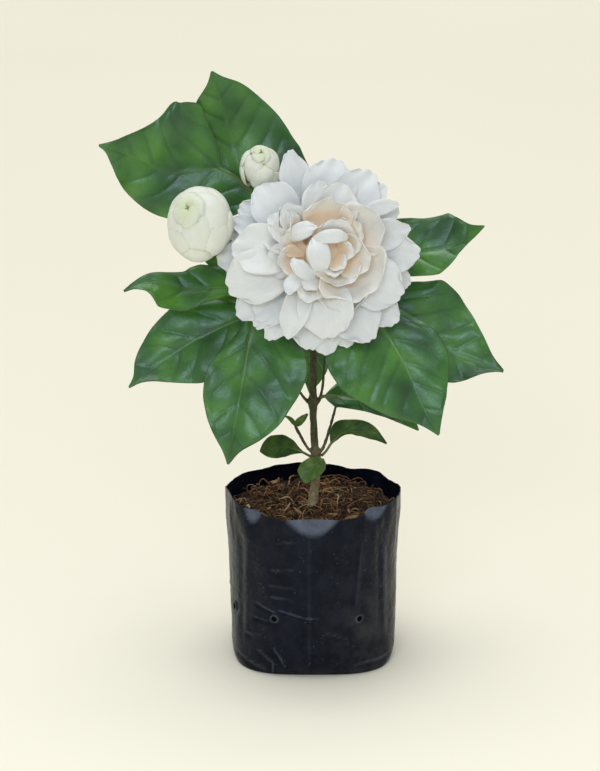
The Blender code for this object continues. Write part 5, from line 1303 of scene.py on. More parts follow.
def build_bloom(materials):
    frame_of = bloom_frame()
    parts = Gatherer()
    for middle, radii in (BLOOM_CORE, BLOOM_HEART):
        add_ball(parts, middle, radii, frame_of, {"peach_and_shade": 1.0, "cool": 0.0})
    for ring, petals in ((BACK_RING, BACK_PETALS), (MIDDLE_RING, MIDDLE_PETALS)):
        least, more, stride, kinds = ring["blunt"]
        for number, entry in enumerate(petals):
            seed = ring["seed"] + number
            blunt = least + more * (number * stride % kinds) / (kinds - 1.0)
            shape = ring_petal(ring["foot"], entry, seed)
            add_petal(parts, shape, seed, ring, frame_of, blunt, ring["cool"], ring["warmth"])
    for number, (line, face, half_width, cup, blunt, cool, warmth) in enumerate(HEART_PETALS):
        shape = (line, face, half_width, cup, 0.0)
        add_petal(parts, shape, HEART_RING["seed"] + number, HEART_RING, frame_of, blunt, cool, warmth)
    return parts.build("bloom_petals_fine", materials)


# Point at a distance from a flower's axis and a height along it
def around_axis(turn, reach, height, matrix, centre):
    return np.array([reach * math.cos(turn), reach * math.sin(turn), height]) @ matrix + centre


def add_sepal(parts, start, end, radius, bend):
    at = np.linspace(0.0, 1.0, SEPAL_POINTS)
    line = start + (end - start) * at[:, None]
    line = line + bend * (np.sin(at * math.pi) * SEPAL_BOW)[:, None]
    radii = radius * (0.5 + 0.9 * np.sin(np.clip(at * 1.25, 0, 1) * math.pi * 0.75)) * (1.0 - 0.75 * at**2)
    verts, faces = tube(line, np.maximum(radii, SEPAL_POINT), SEPAL_SIDES)
    parts.add(verts, faces, {"grain": verts})


def build_bloom_calyx(materials):
    matrix, centre = bloom_frame()
    parts = Gatherer()
    points = [np.array(entry[:3]) @ matrix + centre for entry in CALYX_TUBE] + [BLOOM_STALK_END]
    radii = [entry[3] for entry in CALYX_TUBE] + [STALK_END_RADIUS]
    verts, faces, _ = spread_tube(points, radii, *CALYX_GRID)
    parts.add(verts, faces, {"grain": verts})
    foot, tip, radius = BLOOM_SEPAL
    for number in range(SEPAL_COUNT):
        turn = math.tau * (number + SEPAL_TURN) / SEPAL_COUNT
        start = around_axis(turn, *foot, matrix, centre)
        end = around_axis(turn, *tip, matrix, centre)
        add_sepal(parts, start, end, radius, -matrix[2] * BLOOM_SEPAL_BEND)
    return parts.build("bloom_calyx_fine", materials)


# Buds: their own axes, longer towards the tip, and their middle
def bud_frame(spec):
    out = unit(np.array(spec["axis"], float))
    right = unit(np.cross(np.array([0.0, 0.0, 1.0]), out))
    up = np.cross(out, right)
    stretch = np.array([1.0, 1.0, spec["stretch"]])
    return np.array([right, up, out]) * stretch, np.array(spec["middle"], float)


# Middle surface of one petal that is wrapped round a bud, and its latitude and longitude
def wrap_middle(spec, wrap, turn, step, u, v):
    rise = wrap["top"] + step - wrap["bottom"]
    latitude = np.radians(wrap["bottom"] + rise * u * (1.0 - 0.16 * np.abs(v) ** 2.2 * u))
    shape = 0.4 + 0.6 * np.sin(np.clip(u / 0.5, 0.0, 1.0) * QUARTER_TURN)
    shape = shape * np.sqrt(np.maximum(1.0 - np.clip((u - 0.6) / 0.42, 0.0, 1.0) ** 2.6, 0.0))
    narrowing = np.maximum(np.cos(latitude) * 0.85 + 0.15, 0.35)
    longitude = turn + math.radians(wrap["half"]) * v * shape / narrowing + wrap["turn"] * u**2
    sunk = wrap["foot"] * np.clip(1.0 - u / 0.25, 0.0, 1.0)
    sunk = sunk + wrap["tip"] * np.clip((u - 0.7) / 0.3, 0.0, 1.0) ** 1.6
    level = spec["radius"] - wrap["under"]
    swell = level + 1.5 * wrap["lift"] * v * np.clip(u * 3.0, 0.0, 1.0) - sunk
    pillow = (1.0 - v**2) * np.sin(u * math.pi) ** 0.6 - 0.7
    swell = swell + PETAL_PILLOW * spec["radius"] * pillow
    out = swell * np.cos(latitude)
    local = np.stack([out * np.cos(longitude), out * np.sin(longitude), swell * np.sin(latitude)], axis=1)
    return local, latitude, longitude


def add_wrap(parts, spec, wrap, turn, step, frame_of, seed, green):
    u, v = grid_params(*WRAP_GRID)
    local, latitude, longitude = wrap_middle(spec, wrap, turn, step, u, v)
    normals = grid_normals(local, *WRAP_GRID)
    normals = normals * np.sign(np.sum(normals * local, axis=1).mean())
    wrinkle = soft_noise(local, spec["radius"] * WRAP_WRINKLE_SHARE, 2, seed)
    local = local + normals * (WRAP_WRINKLE * wrinkle)[:, None]
    rim = np.maximum(np.abs(v), u)
    thick = WRAP_RIM + WRAP_SWELL * (1.0 - ease(0.8, 1.0, rim))
    points, faces = blade(local, normals, *WRAP_GRID, thick)
    top = ease(0.55, 1.0, latitude / (QUARTER_TURN))
    foot = 1.0 - ease(-1.05, -0.35, latitude)
    seam = 0.5 * ease(0.82, 1.0, rim)
    marks = {
        "green": np.maximum(np.maximum(green * top, 0.75 * foot), seam),
        "grain": np.stack([longitude * 8.0, u * 5.0, np.full(len(u), seed)], axis=1),
    }
    parts.add(points @ frame_of[0] + frame_of[1], faces, both_sheets(marks))


# How deep each point of a bud lies in a seam: the share of low rays round it that meet a petal, which sets
# the painted shade in the seams
def seam_shade_depth(points, faces, middle):
    tree = BVHTree.FromPolygons([tuple(spot) for spot in points], faces)
    outward = unit(points - middle)
    side = unit(np.cross(outward, (0.3, 0.5, 0.81)))
    other = np.cross(outward, side)
    start = points + outward * SEAM_CLEAR
    met = np.zeros(len(points))
    low, high = math.sin(math.radians(SEAM_TILT)), math.cos(math.radians(SEAM_TILT))
    for number in range(SEAM_RAYS):
        turn = math.tau * number / SEAM_RAYS
        rays = outward * high + (side * math.cos(turn) + other * math.sin(turn)) * low
        for index, (spot, ray) in enumerate(zip(start, rays)):
            if tree.ray_cast(spot, ray, SEAM_REACH)[3] is not None:
                met[index] += 1.0 / SEAM_RAYS
    return met


def build_bud(name, spec, materials):
    frame_of = bud_frame(spec)
    parts = Gatherer()
    heart = spec["radius"] - BUD_HEART_SINK
    high = spec["radius"] - BUD_HEART_REACH
    add_ball(parts, (0.0, 0.0, 0.0), (heart, heart, heart), frame_of, {"green": 0.4})
    core = (0.6 * high, 0.6 * high, 0.5 * high)
    add_ball(parts, (0.0, 0.0, 0.5 * high), core, frame_of, {"green": 0.45})
    ring = spec["petals"] // 2
    for number in range(ring):
        for wrap, start, green in BUD_WRAPS:
            turn = math.radians(spec["spin"] + 360.0 * number / ring + start)
            step = wrap["step"] * (number % 3)
            add_wrap(parts, spec, wrap, turn, step, frame_of, number * 2.0 + start, green)
    depth = seam_shade_depth(np.concatenate(parts.points), parts.faces, frame_of[1])
    # Painted shade: petals are darkened where they lie deep in a seam
    parts.marks["painted_seam_shade"] = [0.75 * ease(0.05, 0.85, depth)]
    return parts.build(name + "_fine", materials)


def build_bud_calyx(name, spec, stalk, materials):
    matrix, middle = bud_frame(spec)
    radius = spec["radius"]
    reach = radius - BUD_HEART_SINK + SEAT_GAP + 0.1
    first = around_axis(0.0, 0.0, -reach, matrix, middle)
    second = around_axis(0.0, 0.0, -reach - radius * NECK_LENGTH, matrix, middle)
    parts = Gatherer()
    radii = [radius * share for share in NECK_RADII] + [STALK_END_RADIUS] * len(stalk)
    verts, faces, _ = spread_tube([first, second, *stalk], radii, *BUD_CALYX_GRID)
    parts.add(verts, faces, {"grain": verts})
    for number in range(SEPAL_COUNT):
        turn = math.tau * (number + BUD_SEPAL_TURN) / SEPAL_COUNT
        out, back = BUD_SEPAL_FOOT
        start = around_axis(turn, radius * out, -reach - radius * back, matrix, middle)
        out, back = BUD_SEPAL_TIP
        end = around_axis(turn, radius * out, -radius * back - BUD_SEPAL_DROP, matrix, middle)
        add_sepal(parts, start, end, BUD_SEPAL_RADIUS, -matrix[2] * BUD_SEPAL_BEND)
    return parts.build(name + "_fine", materials)


# Grow bag
def bag_radius(azimuth, height):
    heights, half_widths, half_depths, powers = zip(*BAG_LEVELS)
    power = np.interp(height, heights, powers)
    a = np.maximum(np.abs(np.cos(azimuth)), 1e-6) / np.interp(height, heights, half_widths)
    b = np.maximum(np.abs(np.sin(azimuth)), 1e-6) / np.interp(height, heights, half_depths)
    return (a**power + b**power) ** (-1.0 / power)


def hump(azimuth, centre, spread):
    return bell((np.degrees(azimuth) - centre + 180.0) % 360.0 - 180.0, spread)


def rim_rise(azimuth):
    return sum(rise * hump(azimuth, centre, spread) for centre, spread, rise in RIM_POINTS)


def fold_depth(azimuth, height):
    share = np.clip((height - FILM_FOLD_LOW) / (BAG_TOP - FILM_FOLD_LOW), 0.0, 1.2)
    lean = sum(depth * hump(azimuth, centre, spread) for centre, spread, depth in RIM_FOLDS)
    return share**1.5 * lean


def to_segment(x, z, first, second):
    ax, az = first
    dx, dz = second[0] - ax, second[1] - az
    size = math.hypot(dx, dz)
    along = ((x - ax) * dx + (z - az) * dz) / size**2
    inside = np.clip(along, 0.0, 1.0)
    aside = ((x - ax) * -dz + (z - az) * dx) / size
    gap = np.hypot(x - (ax + inside * dx), z - (az + inside * dz))
    return gap, aside, along


# How far the film stands out from its plain form, as seen on one face of the bag (x across, z up)
def creases_out(x, z, rows):
    out = np.zeros_like(x)
    for first, second, wide, deep in rows:
        gap, aside, along = to_segment(x, z, first, second)
        ends = np.clip(1.0 - np.maximum(-along, along - 1.0) * 4.0, 0.0, 1.0)
        out = out - CREASE_GAIN * deep * bell(gap, wide)
        out = out + 0.7 * CREASE_GAIN * deep * bell(aside - 1.7 * wide, wide) * ends
    return out


def rim_dents(x, z, face):
    out = np.zeros_like(x)
    for middle, low, bow, deep, half in RIM_DENTS:
        edge = low + bow * (x - middle) ** 2
        over = np.clip(z - edge, 0.0, 20.0)
        inside = 1.0 - ease(half * 0.85, half, np.abs(x - middle))
        out = out - np.minimum(over * DENT_SLOPE, deep) * inside
    return out * face


# Rising values without those that follow the one before too closely
def spaced(values, digits, gap):
    values = np.unique(np.round(values, digits))
    return values[np.concatenate([[True], np.diff(values) > gap])]


def turn_from(azimuth, centre):
    return (azimuth - math.radians(centre) + math.pi) % (math.tau) - math.pi


# Azimuths and heights of the film's grid, closer round the drain holes
def film_grid():
    turns = [np.arange(-180.0, 180.0, FILM_TURN_STEP)]
    for centre, _ in DRAIN_HOLES:
        turns.append(np.arange(centre - HOLE_TURN, centre + HOLE_TURN + 0.01, HOLE_TURN_STEP))
    azimuths = spaced(turn_from(np.radians(np.concatenate(turns)), 0.0), 5, 0.0035)
    rises = [np.arange(0.6, BAG_TOP + 0.01, FILM_RISE_STEP), np.arange(*HOLE_BAND, HOLE_RISE_STEP)]
    heights = spaced(np.concatenate([*rises, [0.0, BAG_TOP, BAG_TOP - 1.0, BAG_TOP - 0.5]]), 3, 0.16)
    if heights[-1] < BAG_TOP:
        heights = np.append(heights, BAG_TOP)
    return azimuths, heights


# How far the film stands out from the plain bag: bumps, creases and dents
def film_relief(x, y, level, height):
    front = ease(0.0, FACE_BLEND, -y)
    rear = ease(0.0, FACE_BLEND, y)
    plain = np.stack([x, y, level], axis=1)
    body = ease(*FOOT_BAND, height)
    out = 0.0
    bumps = ((BROAD_BUMPS, body), (UPRIGHT_BUMPS, ease(*UPRIGHT_BAND, height)), (FINE_BUMPS, body))
    for (high, squat, size, octaves, seed), where in bumps:
        out = out + high * soft_noise(plain * (1.0, 1.0, squat), size, octaves, seed) * where
    dents = rim_dents(x, level, front)
    out = out * (1.0 - 0.85 * ease(0.0, 0.8, -dents))
    out = out + creases_out(x, level, FRONT_CREASES) * front
    out = out + creases_out(-x, level, REAR_CREASES) * rear
    return np.clip(out + dents + rim_dents(-x * 0.9 + 6.0, level, rear) * 0.7, *FILM_OUT)


# Raised rings round the drain holes, grid points drawn to the holes' edges, and those inside them
def open_holes(azimuth, height, level):
    ring = np.zeros_like(azimuth)
    inside = np.zeros(len(azimuth), dtype=bool)
    for centre, middle in DRAIN_HOLES:
        aside = turn_from(azimuth, centre) * HOLE_ARC
        away = np.hypot(aside, height - middle)
        for high, gap, wide in HOLE_RINGS:
            ring = ring + high * bell(away - gap, wide)
        inside |= away < HOLE_RADIUS
        near = (away >= HOLE_RADIUS) & (away < HOLE_RADIUS + HOLE_RISE_STEP)
        pull = np.where(near, HOLE_RADIUS / np.maximum(away, 0.01), 1.0)
        azimuth = np.where(near, math.radians(centre) + aside * pull / HOLE_ARC, azimuth)
        level = np.where(near, middle + (height - middle) * pull, level)
    return azimuth, level, ring, inside


def build_bag(materials):
    azimuths, heights = film_grid()
    rows, columns = len(heights), len(azimuths)
    zz, aa = np.meshgrid(heights, azimuths, indexing="ij")
    azimuth, height = aa.ravel(), zz.ravel()
    radius = bag_radius(azimuth, height) - fold_depth(azimuth, height)
    rim = BAG_TOP - RIM_START
    risen = RIM_START + (height - RIM_START) / rim * (rim + rim_rise(azimuth))
    level = np.where(height > RIM_START, risen, height)
    out = film_relief(radius * np.cos(azimuth), radius * np.sin(azimuth), level, height)
    azimuth, level, ring, inside = open_holes(azimuth, height, level)
    wall = ring_at(azimuth, radius + (out + ring), np.maximum(level, 0.0))
    base = [wall[:columns] * (share, share, 0.0) + (0.0, 0.0, BASE_LEVEL) for share in BASE_SHARES]
    inside = np.concatenate([np.zeros(len(base) * columns, dtype=bool), inside])
    faces = [quad for quad in ring_faces(len(base) + rows, columns) if not inside[list(quad)].any()]
    hub = (len(base) + rows) * columns
    faces += [((k + 1) % columns, k, hub) for k in range(columns)]
    points = np.concatenate(base + [wall, [[0.0, 0.0, BASE_LEVEL]]])
    points, faces, outer = thicken_film(points, faces, FILM_THICK)
    inner = np.zeros(len(points) - outer)
    dust = np.concatenate([film_dust(points[:outer]), inner])
    painted_sheen = np.concatenate([film_painted_sheen(points[:outer]), inner])
    marks = {"dust": dust, "painted_sheen": painted_sheen, "grain": points}
    return mesh_object("grow_bag_fine", points, faces, materials, marks)


# Painted highlight: film is paler and bluer on the dents under the rim, on crease ridges and on hole rings
def film_painted_sheen(points):
    x, y, z = points.T
    front = ease(0.0, FACE_BLEND, -y)
    dented = ease(0.1, 1.2, -rim_dents(x, z, front))
    ridged = 0.4 * ease(0.12, 0.45, creases_out(x, z, FRONT_CREASES) * front)
    ringed = np.zeros(len(points))
    pale, gap, wide = SHEEN_RING
    for centre, level in DRAIN_HOLES:
        away = np.hypot(turn_from(np.arctan2(y, x), centre) * HOLE_ARC, z - level)
        ringed = ringed + pale * bell(away - gap, wide)
    return np.clip(np.maximum(dented, np.maximum(ridged, ringed)), 0.0, 1.0)


def film_dust(points):
    x, y, z = points.T
    low = bell(x - DUST_SPOT[0], 12.0) * bell(z - DUST_SPOT[1], 20.0) * ease(0.0, 10.0, -y)
    foot = 0.5 * (1.0 - ease(0.0, 7.0, z))
    return np.clip(0.12 + 0.8 * low + foot, 0.0, 1.0)


# Second skin inside the first, joined along every open edge
def thicken_film(points, faces, thick):
    used = sorted({corner for face in faces for corner in face})
    renumber = {old: new for new, old in enumerate(used)}
    points = points[used]
    faces = [tuple(renumber[c] for c in face) for face in faces]
    normals = np.zeros_like(points)
    for face in faces:
        a, b, c = points[list(face[:3])]
        normals[list(face)] += np.cross(b - a, c - a)
    count = len(points)
    edges = {edge: None for face in faces for edge in zip(face, face[1:] + face[:1])}
    both = faces + [tuple(c + count for c in reversed(face)) for face in faces]
    both += [(b, a, a + count, b + count) for a, b in edges if (b, a) not in edges]
    return np.concatenate([points, points - unit(normals) * thick]), both, count


# Growing medium
def soil_height(x, y):
    wave = 0.5 * np.sin(0.31 * x + 0.8) * np.cos(0.27 * y - 0.4) + 0.35 * np.sin(0.62 * x - 0.5 * y)
    return SOIL_TOP + SOIL_RELIEF * wave


def soil_edge(azimuth, height):
    return bag_radius(azimuth, height) - fold_depth(azimuth, height) - SOIL_INSET


def add_soil_body(parts):
    azimuth = np.linspace(0.0, math.tau, SOIL_COLUMNS, endpoint=False)
    rings = []
    for height in SOIL_LEVELS:
        inset = SOIL_FOOT_INSET if height < 2.0 else SOIL_SIDE_INSET
        rings.append(ring_at(azimuth, soil_edge(azimuth, height) - inset, height))
    for share in np.concatenate([np.linspace(0.985, 0.12, 62), [0.06]]):
        radius = soil_edge(azimuth, SOIL_EDGE_LEVEL) * share - 0.5 * (share > 0.9)
        ring = ring_at(azimuth, radius, 0.0)
        ring[:, 2] = soil_height(ring[:, 0], ring[:, 1]) - SOIL_DROP
        ring[:, 2] += sum(high * soft_noise(ring, *kind) for high, *kind in (LUMPS, CRUMBS))
        ring[:, 2] -= 1.2 * ease(0.93, 1.0, share)
        rings.append(ring)
    verts = np.concatenate(rings + [[[0.0, 0.0, SOIL_LEVELS[0]]], [[0.0, 0.0, SOIL_TOP - SOIL_DROP]]])
    tone = 0.2 + 0.2 * soft_noise(verts, 2.0, 2, 4.0)
    parts.add(verts, capped_rings(len(rings), SOIL_COLUMNS), {"tone": tone, "grain": verts})


def add_strands(parts):
    draw = random.Random(77)
    for _ in range(STRAND_COUNT):
        turn = draw.uniform(0.0, math.tau)
        away = STRAND_FIELD * math.sqrt(draw.uniform(0.01, 1.0))
        heading = draw.uniform(0.0, math.tau)
        long_one = draw.random() < 0.3
        reach = draw.uniform(*(LONG_STRANDS if long_one else SHORT_STRANDS))
        bend = draw.uniform(-0.8, 0.8)
        rise = draw.uniform(*(LOW_STRANDS if draw.random() < 0.75 else HIGH_STRANDS))
        radius = draw.uniform(*(THIN_STRANDS if draw.random() < 0.7 else THICK_STRANDS))
        tone = min(1.0, max(0.0, draw.gauss(0.56, 0.2)))
        phase = draw.uniform(0.0, 6.28)
        count = 12 if long_one else 8
        at = np.linspace(-0.5, 0.5, count)
        angle = heading + bend * at * 2.0 + 0.2 * np.sin(at * 9.0 + phase)
        px = away * math.cos(turn) + np.cumsum(np.cos(angle)) * reach / count
        py = away * math.sin(turn) + np.cumsum(np.sin(angle)) * reach / count
        limit = soil_edge(np.arctan2(py, px), np.full(count, SOIL_EDGE_LEVEL)) - STRAND_INSET
        shrink = np.minimum(1.0, limit / np.maximum(np.hypot(px, py), 0.01))
        px, py = px * shrink, py * shrink
        pz = soil_height(px, py) - 0.6 + rise * (1.0 - (2.0 * at) ** 2) * draw.uniform(0.4, 1.0)
        pz = pz + 0.35 * np.sin(at * 8.0 + phase)
        line = np.stack([px, py, pz], axis=1)
        if np.linalg.norm(np.diff(line, axis=0), axis=1).min() < 0.02:
            continue
        radii = radius * (1.0 - 0.45 * np.abs(2.0 * at) ** 3)
        verts, faces = tube(line, radii, STRAND_SIDES)
        parts.add(verts, faces, {"tone": tone, "grain": verts})


def chip_ball():
    ball = bmesh.new()
    bmesh.ops.create_icosphere(ball, subdivisions=2, radius=1.0)
    rows = np.array([tuple(vertex.co) for vertex in ball.verts])
    faces = [tuple(vertex.index for vertex in face.verts) for face in ball.faces]
    ball.free()
    return rows, faces


def add_chips(parts):
    draw = random.Random(91)
    plain, faces = chip_ball()
    for number in range(CHIP_COUNT):
        turn = draw.uniform(0.0, math.tau)
        away = CHIP_FIELD * math.sqrt(draw.uniform(0.02, 1.0))
        x, y = away * math.cos(turn), away * math.sin(turn)
        size = draw.uniform(*CHIP_SIZES)
        shape = size * np.array([draw.uniform(*side) for side in (CHIP_LENGTH, CHIP_WIDTH, CHIP_HEIGHT)])
        heading = draw.uniform(0.0, math.pi)
        tilt = draw.uniform(-0.5, 0.5)
        tone = draw.choice(CHIP_TONES) if draw.random() < 0.9 else 1.0
        rows = plain * (1.0 + 0.4 * soft_noise(plain, 0.9, 2, number * 1.7))[:, None] * shape
        cos_h, sin_h = math.cos(heading), math.sin(heading)
        cos_t, sin_t = math.cos(tilt), math.sin(tilt)
        lean = np.array([[cos_t, 0.0, sin_t], [0.0, 1.0, 0.0], [-sin_t, 0.0, cos_t]])
        spin = np.array([[cos_h, sin_h, 0.0], [-sin_h, cos_h, 0.0], [0.0, 0.0, 1.0]])
        rows = rows @ lean @ spin + np.array([x, y, soil_height(x, y) + draw.uniform(*CHIP_LIFT)])
        parts.add(rows, faces, {"tone": tone, "grain": rows})


def build_soil(materials):
    parts = Gatherer()
    add_soil_body(parts)
    add_strands(parts)
    add_chips(parts)
    return parts.build("growing_medium_fine", materials)


# One closed skin round a rough object, which goes: its points, their normals and its faces
def run_together(rough):
    joiner = rough.modifiers.new("joined", "REMESH")
    joiner.mode = "VOXEL"
    joiner.voxel_size = STEM_VOXEL * MM
    graph = bpy.context.evaluated_depsgraph_get()
    made = bpy.data.meshes.new_from_object(rough.evaluated_get(graph), depsgraph=graph)
    bpy.data.objects.remove(rough, do_unlink=True)
    rows = np.empty((len(made.vertices), 3))
    made.vertices.foreach_get("co", rows.ravel())
    facing = np.empty((len(made.vertices), 3))
    made.vertex_normals.foreach_get("vector", facing.ravel())
    faces = [tuple(face.vertices) for face in made.polygons]
    bpy.data.meshes.remove(made)
    return rows / MM, facing, faces


# Woody stem: tubes run together into one skin, then given bark
def build_stem(materials):
    parts = Gatherer()
    for branch, count in STEM_PARTS:
        line, radii = [spot[:3] for spot in branch], [spot[3] for spot in branch]
        verts, faces, _ = spread_tube(line, radii, count, STEM_SIDES)
        parts.add(verts, faces, {})
    rows, facing, faces = run_together(parts.build("stem_rough", []))
    ridges = soft_noise(rows * (1.0, 1.0, BARK_STRETCH), BARK_RIDGE_SIZE, 2, 1.0)
    knots = soft_noise(rows, BARK_KNOT_SIZE, 2, 5.0)
    rows = rows + facing * (BARK_RIDGE * ridges + BARK_KNOT * knots)[:, None]
    marks = {"tone": 0.5 + 0.5 * ridges, "grain": rows}
    return mesh_object("main_stem_fine", rows, faces, materials, marks)


# Paints
def leaf_paint(name, dark, mid, light, vein_groove_shade, rough, gloss):
    paint = Paint(name, rough, Specular_IOR_Level=gloss, Coat_Weight=0.1, Coat_Roughness=0.3)
    paint.shader.inputs["Specular Tint"].default_value = (*SHEEN_TINT, 1.0)
    mottle = paint.noise(90.0, 4.0, 0.6)
    tone = paint.plus(paint.times(paint.mark("tone"), 0.85), paint.times(mottle, 0.2))
    tint = paint.ramp(tone, ((0.22, dark), (0.5, mid), (0.8, light)))
    net = paint.cells(330.0, "DISTANCE_TO_EDGE")
    # Painted shade: veinlet lines and sunken vein grooves are darkened
    tint = paint.mix(paint.stretch(net, 0.0, 0.1, 0.1, 0.0), tint, vein_groove_shade)
    tint = paint.mix(paint.times(paint.mark("vein"), 0.45), tint, vein_groove_shade)
    pale = paint.times(paint.mark("rib"), paint.stretch(paint.mark("along"), 0.0, 0.55, 0.85, 0.12))
    tint = paint.mix(pale, tint, PALE_RIB)
    paint.colour(paint.mix(paint.times(paint.mark("rim"), 0.45), tint, RIM_RED))
    worn = paint.noise(260.0, 4.0, 0.6)
    paint.rough(paint.stretch(worn, 0.3, 0.7, rough - 0.05, rough + 0.08))
    height = paint.plus(paint.stretch(net, 0.0, 0.22), paint.times(worn, 0.6))
    paint.bump(height, 0.00008, 0.4)
    return paint.material


def under_paint(name, mid, light):
    paint = Paint(name, 0.58, Specular_IOR_Level=0.4)
    grain = paint.grain()
    tint = paint.ramp(paint.noise(0.3, 4.0, 0.6, grain), ((0.3, mid), (0.7, light)))
    ribs = paint.math("MAXIMUM", paint.mark("vein"), paint.mark("rib"))
    paint.colour(paint.mix(paint.times(ribs, 0.6), tint, PALE_RIB))
    paint.bump(paint.noise(1.4, 4.0, 0.6, grain), 0.00015, 0.6)
    return paint.material


# Stalks and calyxes: one streaky noise sets both tint and bumps
def streaked_paint(name, rough, scale, tints):
    paint = Paint(name, rough, Specular_IOR_Level=0.45)
    streaks = paint.noise(scale, 4.0, 0.6, paint.grain())
    paint.colour(paint.ramp(streaks, tints))
    paint.bump(streaks, 0.0002, 0.5)
    return paint.material


def stalk_paint():
    return streaked_paint("leaf_stalk", 0.48, 0.8, STALK_TINTS)


def calyx_paint():
    return streaked_paint("calyx", 0.46, 0.9, CALYX_TINTS)


def petal_paint():
    paint = Paint("petal", 0.58, Specular_IOR_Level=0.25)
    grain = paint.grain()
    streak = paint.noise(0.9, 4.0, 0.6, grain)
    white = paint.mix(paint.mark("cool"), PETAL_CREAM, PETAL_COOL)
    white = paint.mix(paint.stretch(streak, 0.35, 0.75, 0.0, 0.35), white, PETAL_SHADE)
    # Peach tint and painted warm shade where the bloom is deep
    depth = paint.times(paint.mark("peach_and_shade"), paint.stretch(paint.noise(220.0, 3.0), 0.3, 0.6, 0.8, 1.1))
    tint = paint.mix(paint.stretch(depth, 0.12, 0.6), white, PETAL_PEACH_AND_SHADE)
    paint.colour(paint.mix(paint.stretch(depth, 0.55, 1.0), tint, PETAL_DEEP_SHADE))
    paint.bump(paint.noise(1.6, 3.0, 0.55, grain), 0.00018, 0.55)
    return paint.material


def bud_paint():
    paint = Paint("bud_petal", 0.52, Specular_IOR_Level=0.3)
    grain = paint.grain()
    streak = paint.noise(0.7, 4.0, 0.6, grain)
    white = paint.mix(paint.stretch(streak, 0.3, 0.75, 0.0, 0.7), BUD_CREAM, BUD_SHADE)
    flush = paint.times(paint.mark("green"), paint.stretch(streak, 0.2, 0.8, 0.6, 1.0))
    tint = paint.mix(flush, white, BUD_GREEN)
    # Painted shade darkens the petals where they lie deep in a seam
    paint.colour(paint.mix(paint.mark("painted_seam_shade"), tint, BUD_SEAM_SHADE))
    paint.bump(paint.noise(1.5, 3.0, 0.6, grain), 0.00018, 0.5)
    return paint.material


def film_paint():
    paint = Paint("nursery_film", 0.3, Specular_IOR_Level=0.19, IOR=1.32)
    grain = paint.grain()
    smear = paint.noise(0.12, 5.0, 0.62, grain)
    specks = paint.stretch(paint.cells(0.55, "F1", grain), 0.1, 0.2, 1.0, 0.0)
    rare = paint.stretch(paint.noise(0.2, 2.0, 0.5, grain), 0.56, 0.62)
    tint = paint.ramp(smear, FILM_TINTS)
    dusty = paint.times(paint.mark("dust"), paint.stretch(smear, 0.4, 0.7, 0.12, 0.75))
    tint = paint.mix(paint.times(dusty, 0.3), tint, DUST_TINT)
    # Painted sheen: paler, bluer film on dents, crease ridges and hole rings
    pale = paint.times(paint.mark("painted_sheen"), paint.stretch(smear, 0.3, 0.7, 0.45, 0.95))
    tint = paint.mix(pale, tint, PAINTED_SHEEN_TINT)
    paint.colour(paint.mix(paint.times(paint.times(specks, rare), 0.5), tint, DUST_TINT))
    paint.rough(paint.plus(paint.stretch(smear, 0.3, 0.7, 0.22, 0.3), paint.times(dusty, 0.25)))
    first = paint.bump(paint.noise(0.35, 4.0, 0.55, grain), 0.0006, 0.6)
    paint.bump(paint.noise(2.2, 3.0, 0.6, grain), 0.0001, 0.4, first)
    return paint.material


def soil_paint():
    paint = Paint("coir", 0.82, Specular_IOR_Level=0.25)
    grit = paint.noise(1.1, 4.0, 0.7, paint.grain())
    tone = paint.plus(paint.mark("tone"), paint.stretch(grit, 0.3, 0.7, -0.16, 0.16))
    paint.colour(paint.ramp(tone, SOIL_TINTS))
    paint.bump(grit, 0.0005, 0.9)
    return paint.material


def bark_paint():
    paint = Paint("bark", 0.7, Specular_IOR_Level=0.3)
    grain = paint.grain()
    flecks = paint.noise(0.8, 5.0, 0.65, grain)
    up = paint.node("ShaderNodeSeparateXYZ", {"Vector": grain}).outputs["Z"]
    tone = paint.plus(paint.times(flecks, 0.7), paint.times(paint.mark("tone"), 0.3))
    low = paint.ramp(tone, BARK_LOW_TINTS)
    high = paint.ramp(tone, BARK_HIGH_TINTS)
    paint.colour(paint.mix(paint.stretch(up, *BARK_CHANGE), low, high))
    paint.bump(flecks, 0.0005, 0.8)
    return paint.material


def floor_paint():
    paint = Paint("paper_floor", 0.9, Specular_IOR_Level=0.1)
    paint.colour(paint.ramp(paint.noise(1.3, 2.0), ((0.3, FLOOR_LOW), (0.7, FLOOR_HIGH))))
    return paint.material


# Lights, floor and camera
def add_light(name, kind, energy, tint, aim_from, **settings):
    lamp = bpy.data.lights.new(name, kind)
    lamp.energy = energy
    lamp.color = tint
    for label, value in settings.items():
        setattr(lamp, label, value)
    item = shown(name, lamp)
    item.location = aim_from
    item.rotation_euler = (Vector(LIGHT_TARGET) - Vector(aim_from)).to_track_quat("-Z", "Y").to_euler()


def build_setting():
    floor = bpy.data.meshes.new("floor")
    half = FLOOR_HALF
    corners = [(-half, -half, 0.0), (half, -half, 0.0), (half, half, 0.0), (-half, half, 0.0)]
    floor.from_pydata(corners, [], [(0, 1, 2, 3)])
    floor.materials.append(floor_paint())
    shown("floor", floor)
    world = bpy.data.worlds.new("studio")
    world.use_nodes = True
    sky = world.node_tree.nodes["Background"]
    sky.inputs["Color"].default_value = (*SKY_TINT, 1.0)
    sky.inputs["Strength"].default_value = SKY_STRENGTH
    bpy.context.scene.world = world
    add_light("key", "SUN", KEY_POWER, KEY_TINT, KEY_FROM, angle=math.radians(KEY_SPREAD))
    add_light("fill", "SUN", FILL_POWER, FILL_TINT, FILL_FROM, angle=math.radians(FILL_SPREAD))
    wide, high = FRONT_SIZE
    add_light("front", "AREA", FRONT_POWER, FILL_TINT, FRONT_FROM, shape="RECTANGLE", size=wide, size_y=high)


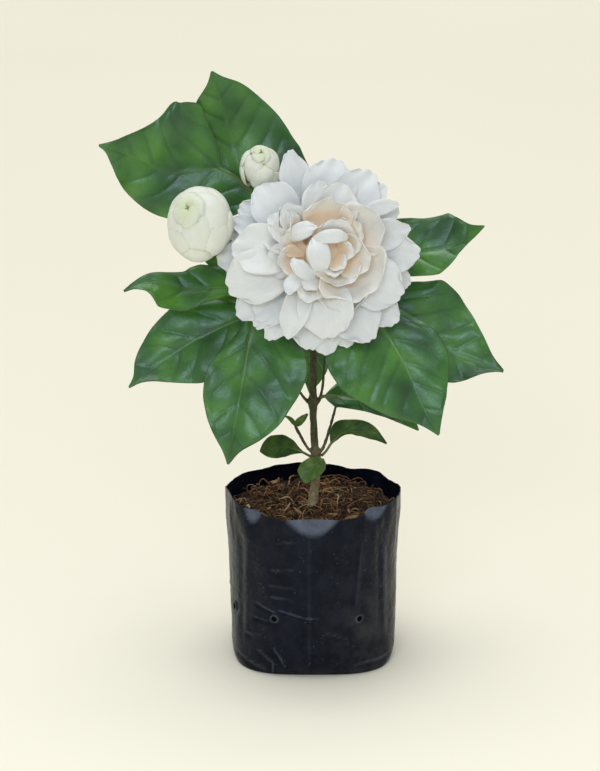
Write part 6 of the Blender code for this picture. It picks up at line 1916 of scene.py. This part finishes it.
def build_camera():
    camera = bpy.data.cameras.new("camera")
    camera.lens = CAMERA_LENS
    camera.sensor_width = CAMERA_SENSOR
    camera.clip_start = 0.01
    item = shown("camera", camera)
    tilt = math.radians(CAMERA_ELEVATION)
    offset = Vector((0.0, -CAMERA_DISTANCE * math.cos(tilt), CAMERA_DISTANCE * math.sin(tilt)))
    item.location = Vector(CAMERA_TARGET) + offset
    item.rotation_euler = (QUARTER_TURN - tilt, 0.0, 0.0)
    bpy.context.scene.camera = item


def settle(piece, nodes):
    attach(piece, "root")
    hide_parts(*nodes)


def build_leaves():
    green = leaf_paint("leaf_upper", *GREEN_FACE)
    olive = leaf_paint("leaf_small_upper", *OLIVE_FACE)
    young = leaf_paint("leaf_young_upper", *YOUNG_FACE)
    under = under_paint("leaf_under", UNDER_MID, UNDER_LIGHT)
    stalk = stalk_paint()
    faces = {"leaf_small_left": olive, "leaf_small_right": olive, "leaf_small_front": young}
    for number, name in enumerate(LEAVES):
        leaf = build_leaf(name, number + 1, [faces.get(name, green), under, stalk])
        settle(leaf, (name,))
    tiny = Gatherer()
    for number, spec in enumerate(TINY_LEAVES):
        add_leaf(tiny, spec, TINY_SEED + number, TINY_LEAF_GRID, TINY_LEAF_THICK)
    settle(tiny.build("leaf_tiny_pair_fine", [young, under, stalk]), ("leaf_tiny_pair",))


def main():
    build_leaves()
    settle(build_bloom([petal_paint()]), ("bloom_petals",))
    calyx = [calyx_paint()]
    settle(build_bloom_calyx(calyx), ("bloom_calyx",))
    bud = [bud_paint()]
    settle(build_bud("bud_large_petals", BUD_LARGE, bud), ("bud_large_petals",))
    settle(build_bud("bud_small_petals", BUD_SMALL, bud), ("bud_small_petals",))
    large = build_bud_calyx("bud_large_calyx", BUD_LARGE, BUD_LARGE_STALK, calyx)
    settle(large, ("bud_large_calyx",))
    small = build_bud_calyx("bud_small_calyx", BUD_SMALL, BUD_SMALL_STALK, calyx)
    settle(small, ("bud_small_calyx",))
    settle(build_bag([film_paint()]), ("grow_bag",))
    settle(build_soil([soil_paint()]), ("growing_medium",))
    settle(build_stem([bark_paint()]), ("main_stem",))
    build_setting()
    build_camera()


main()
bpy.context.scene.view_settings.view_transform = "Standard"
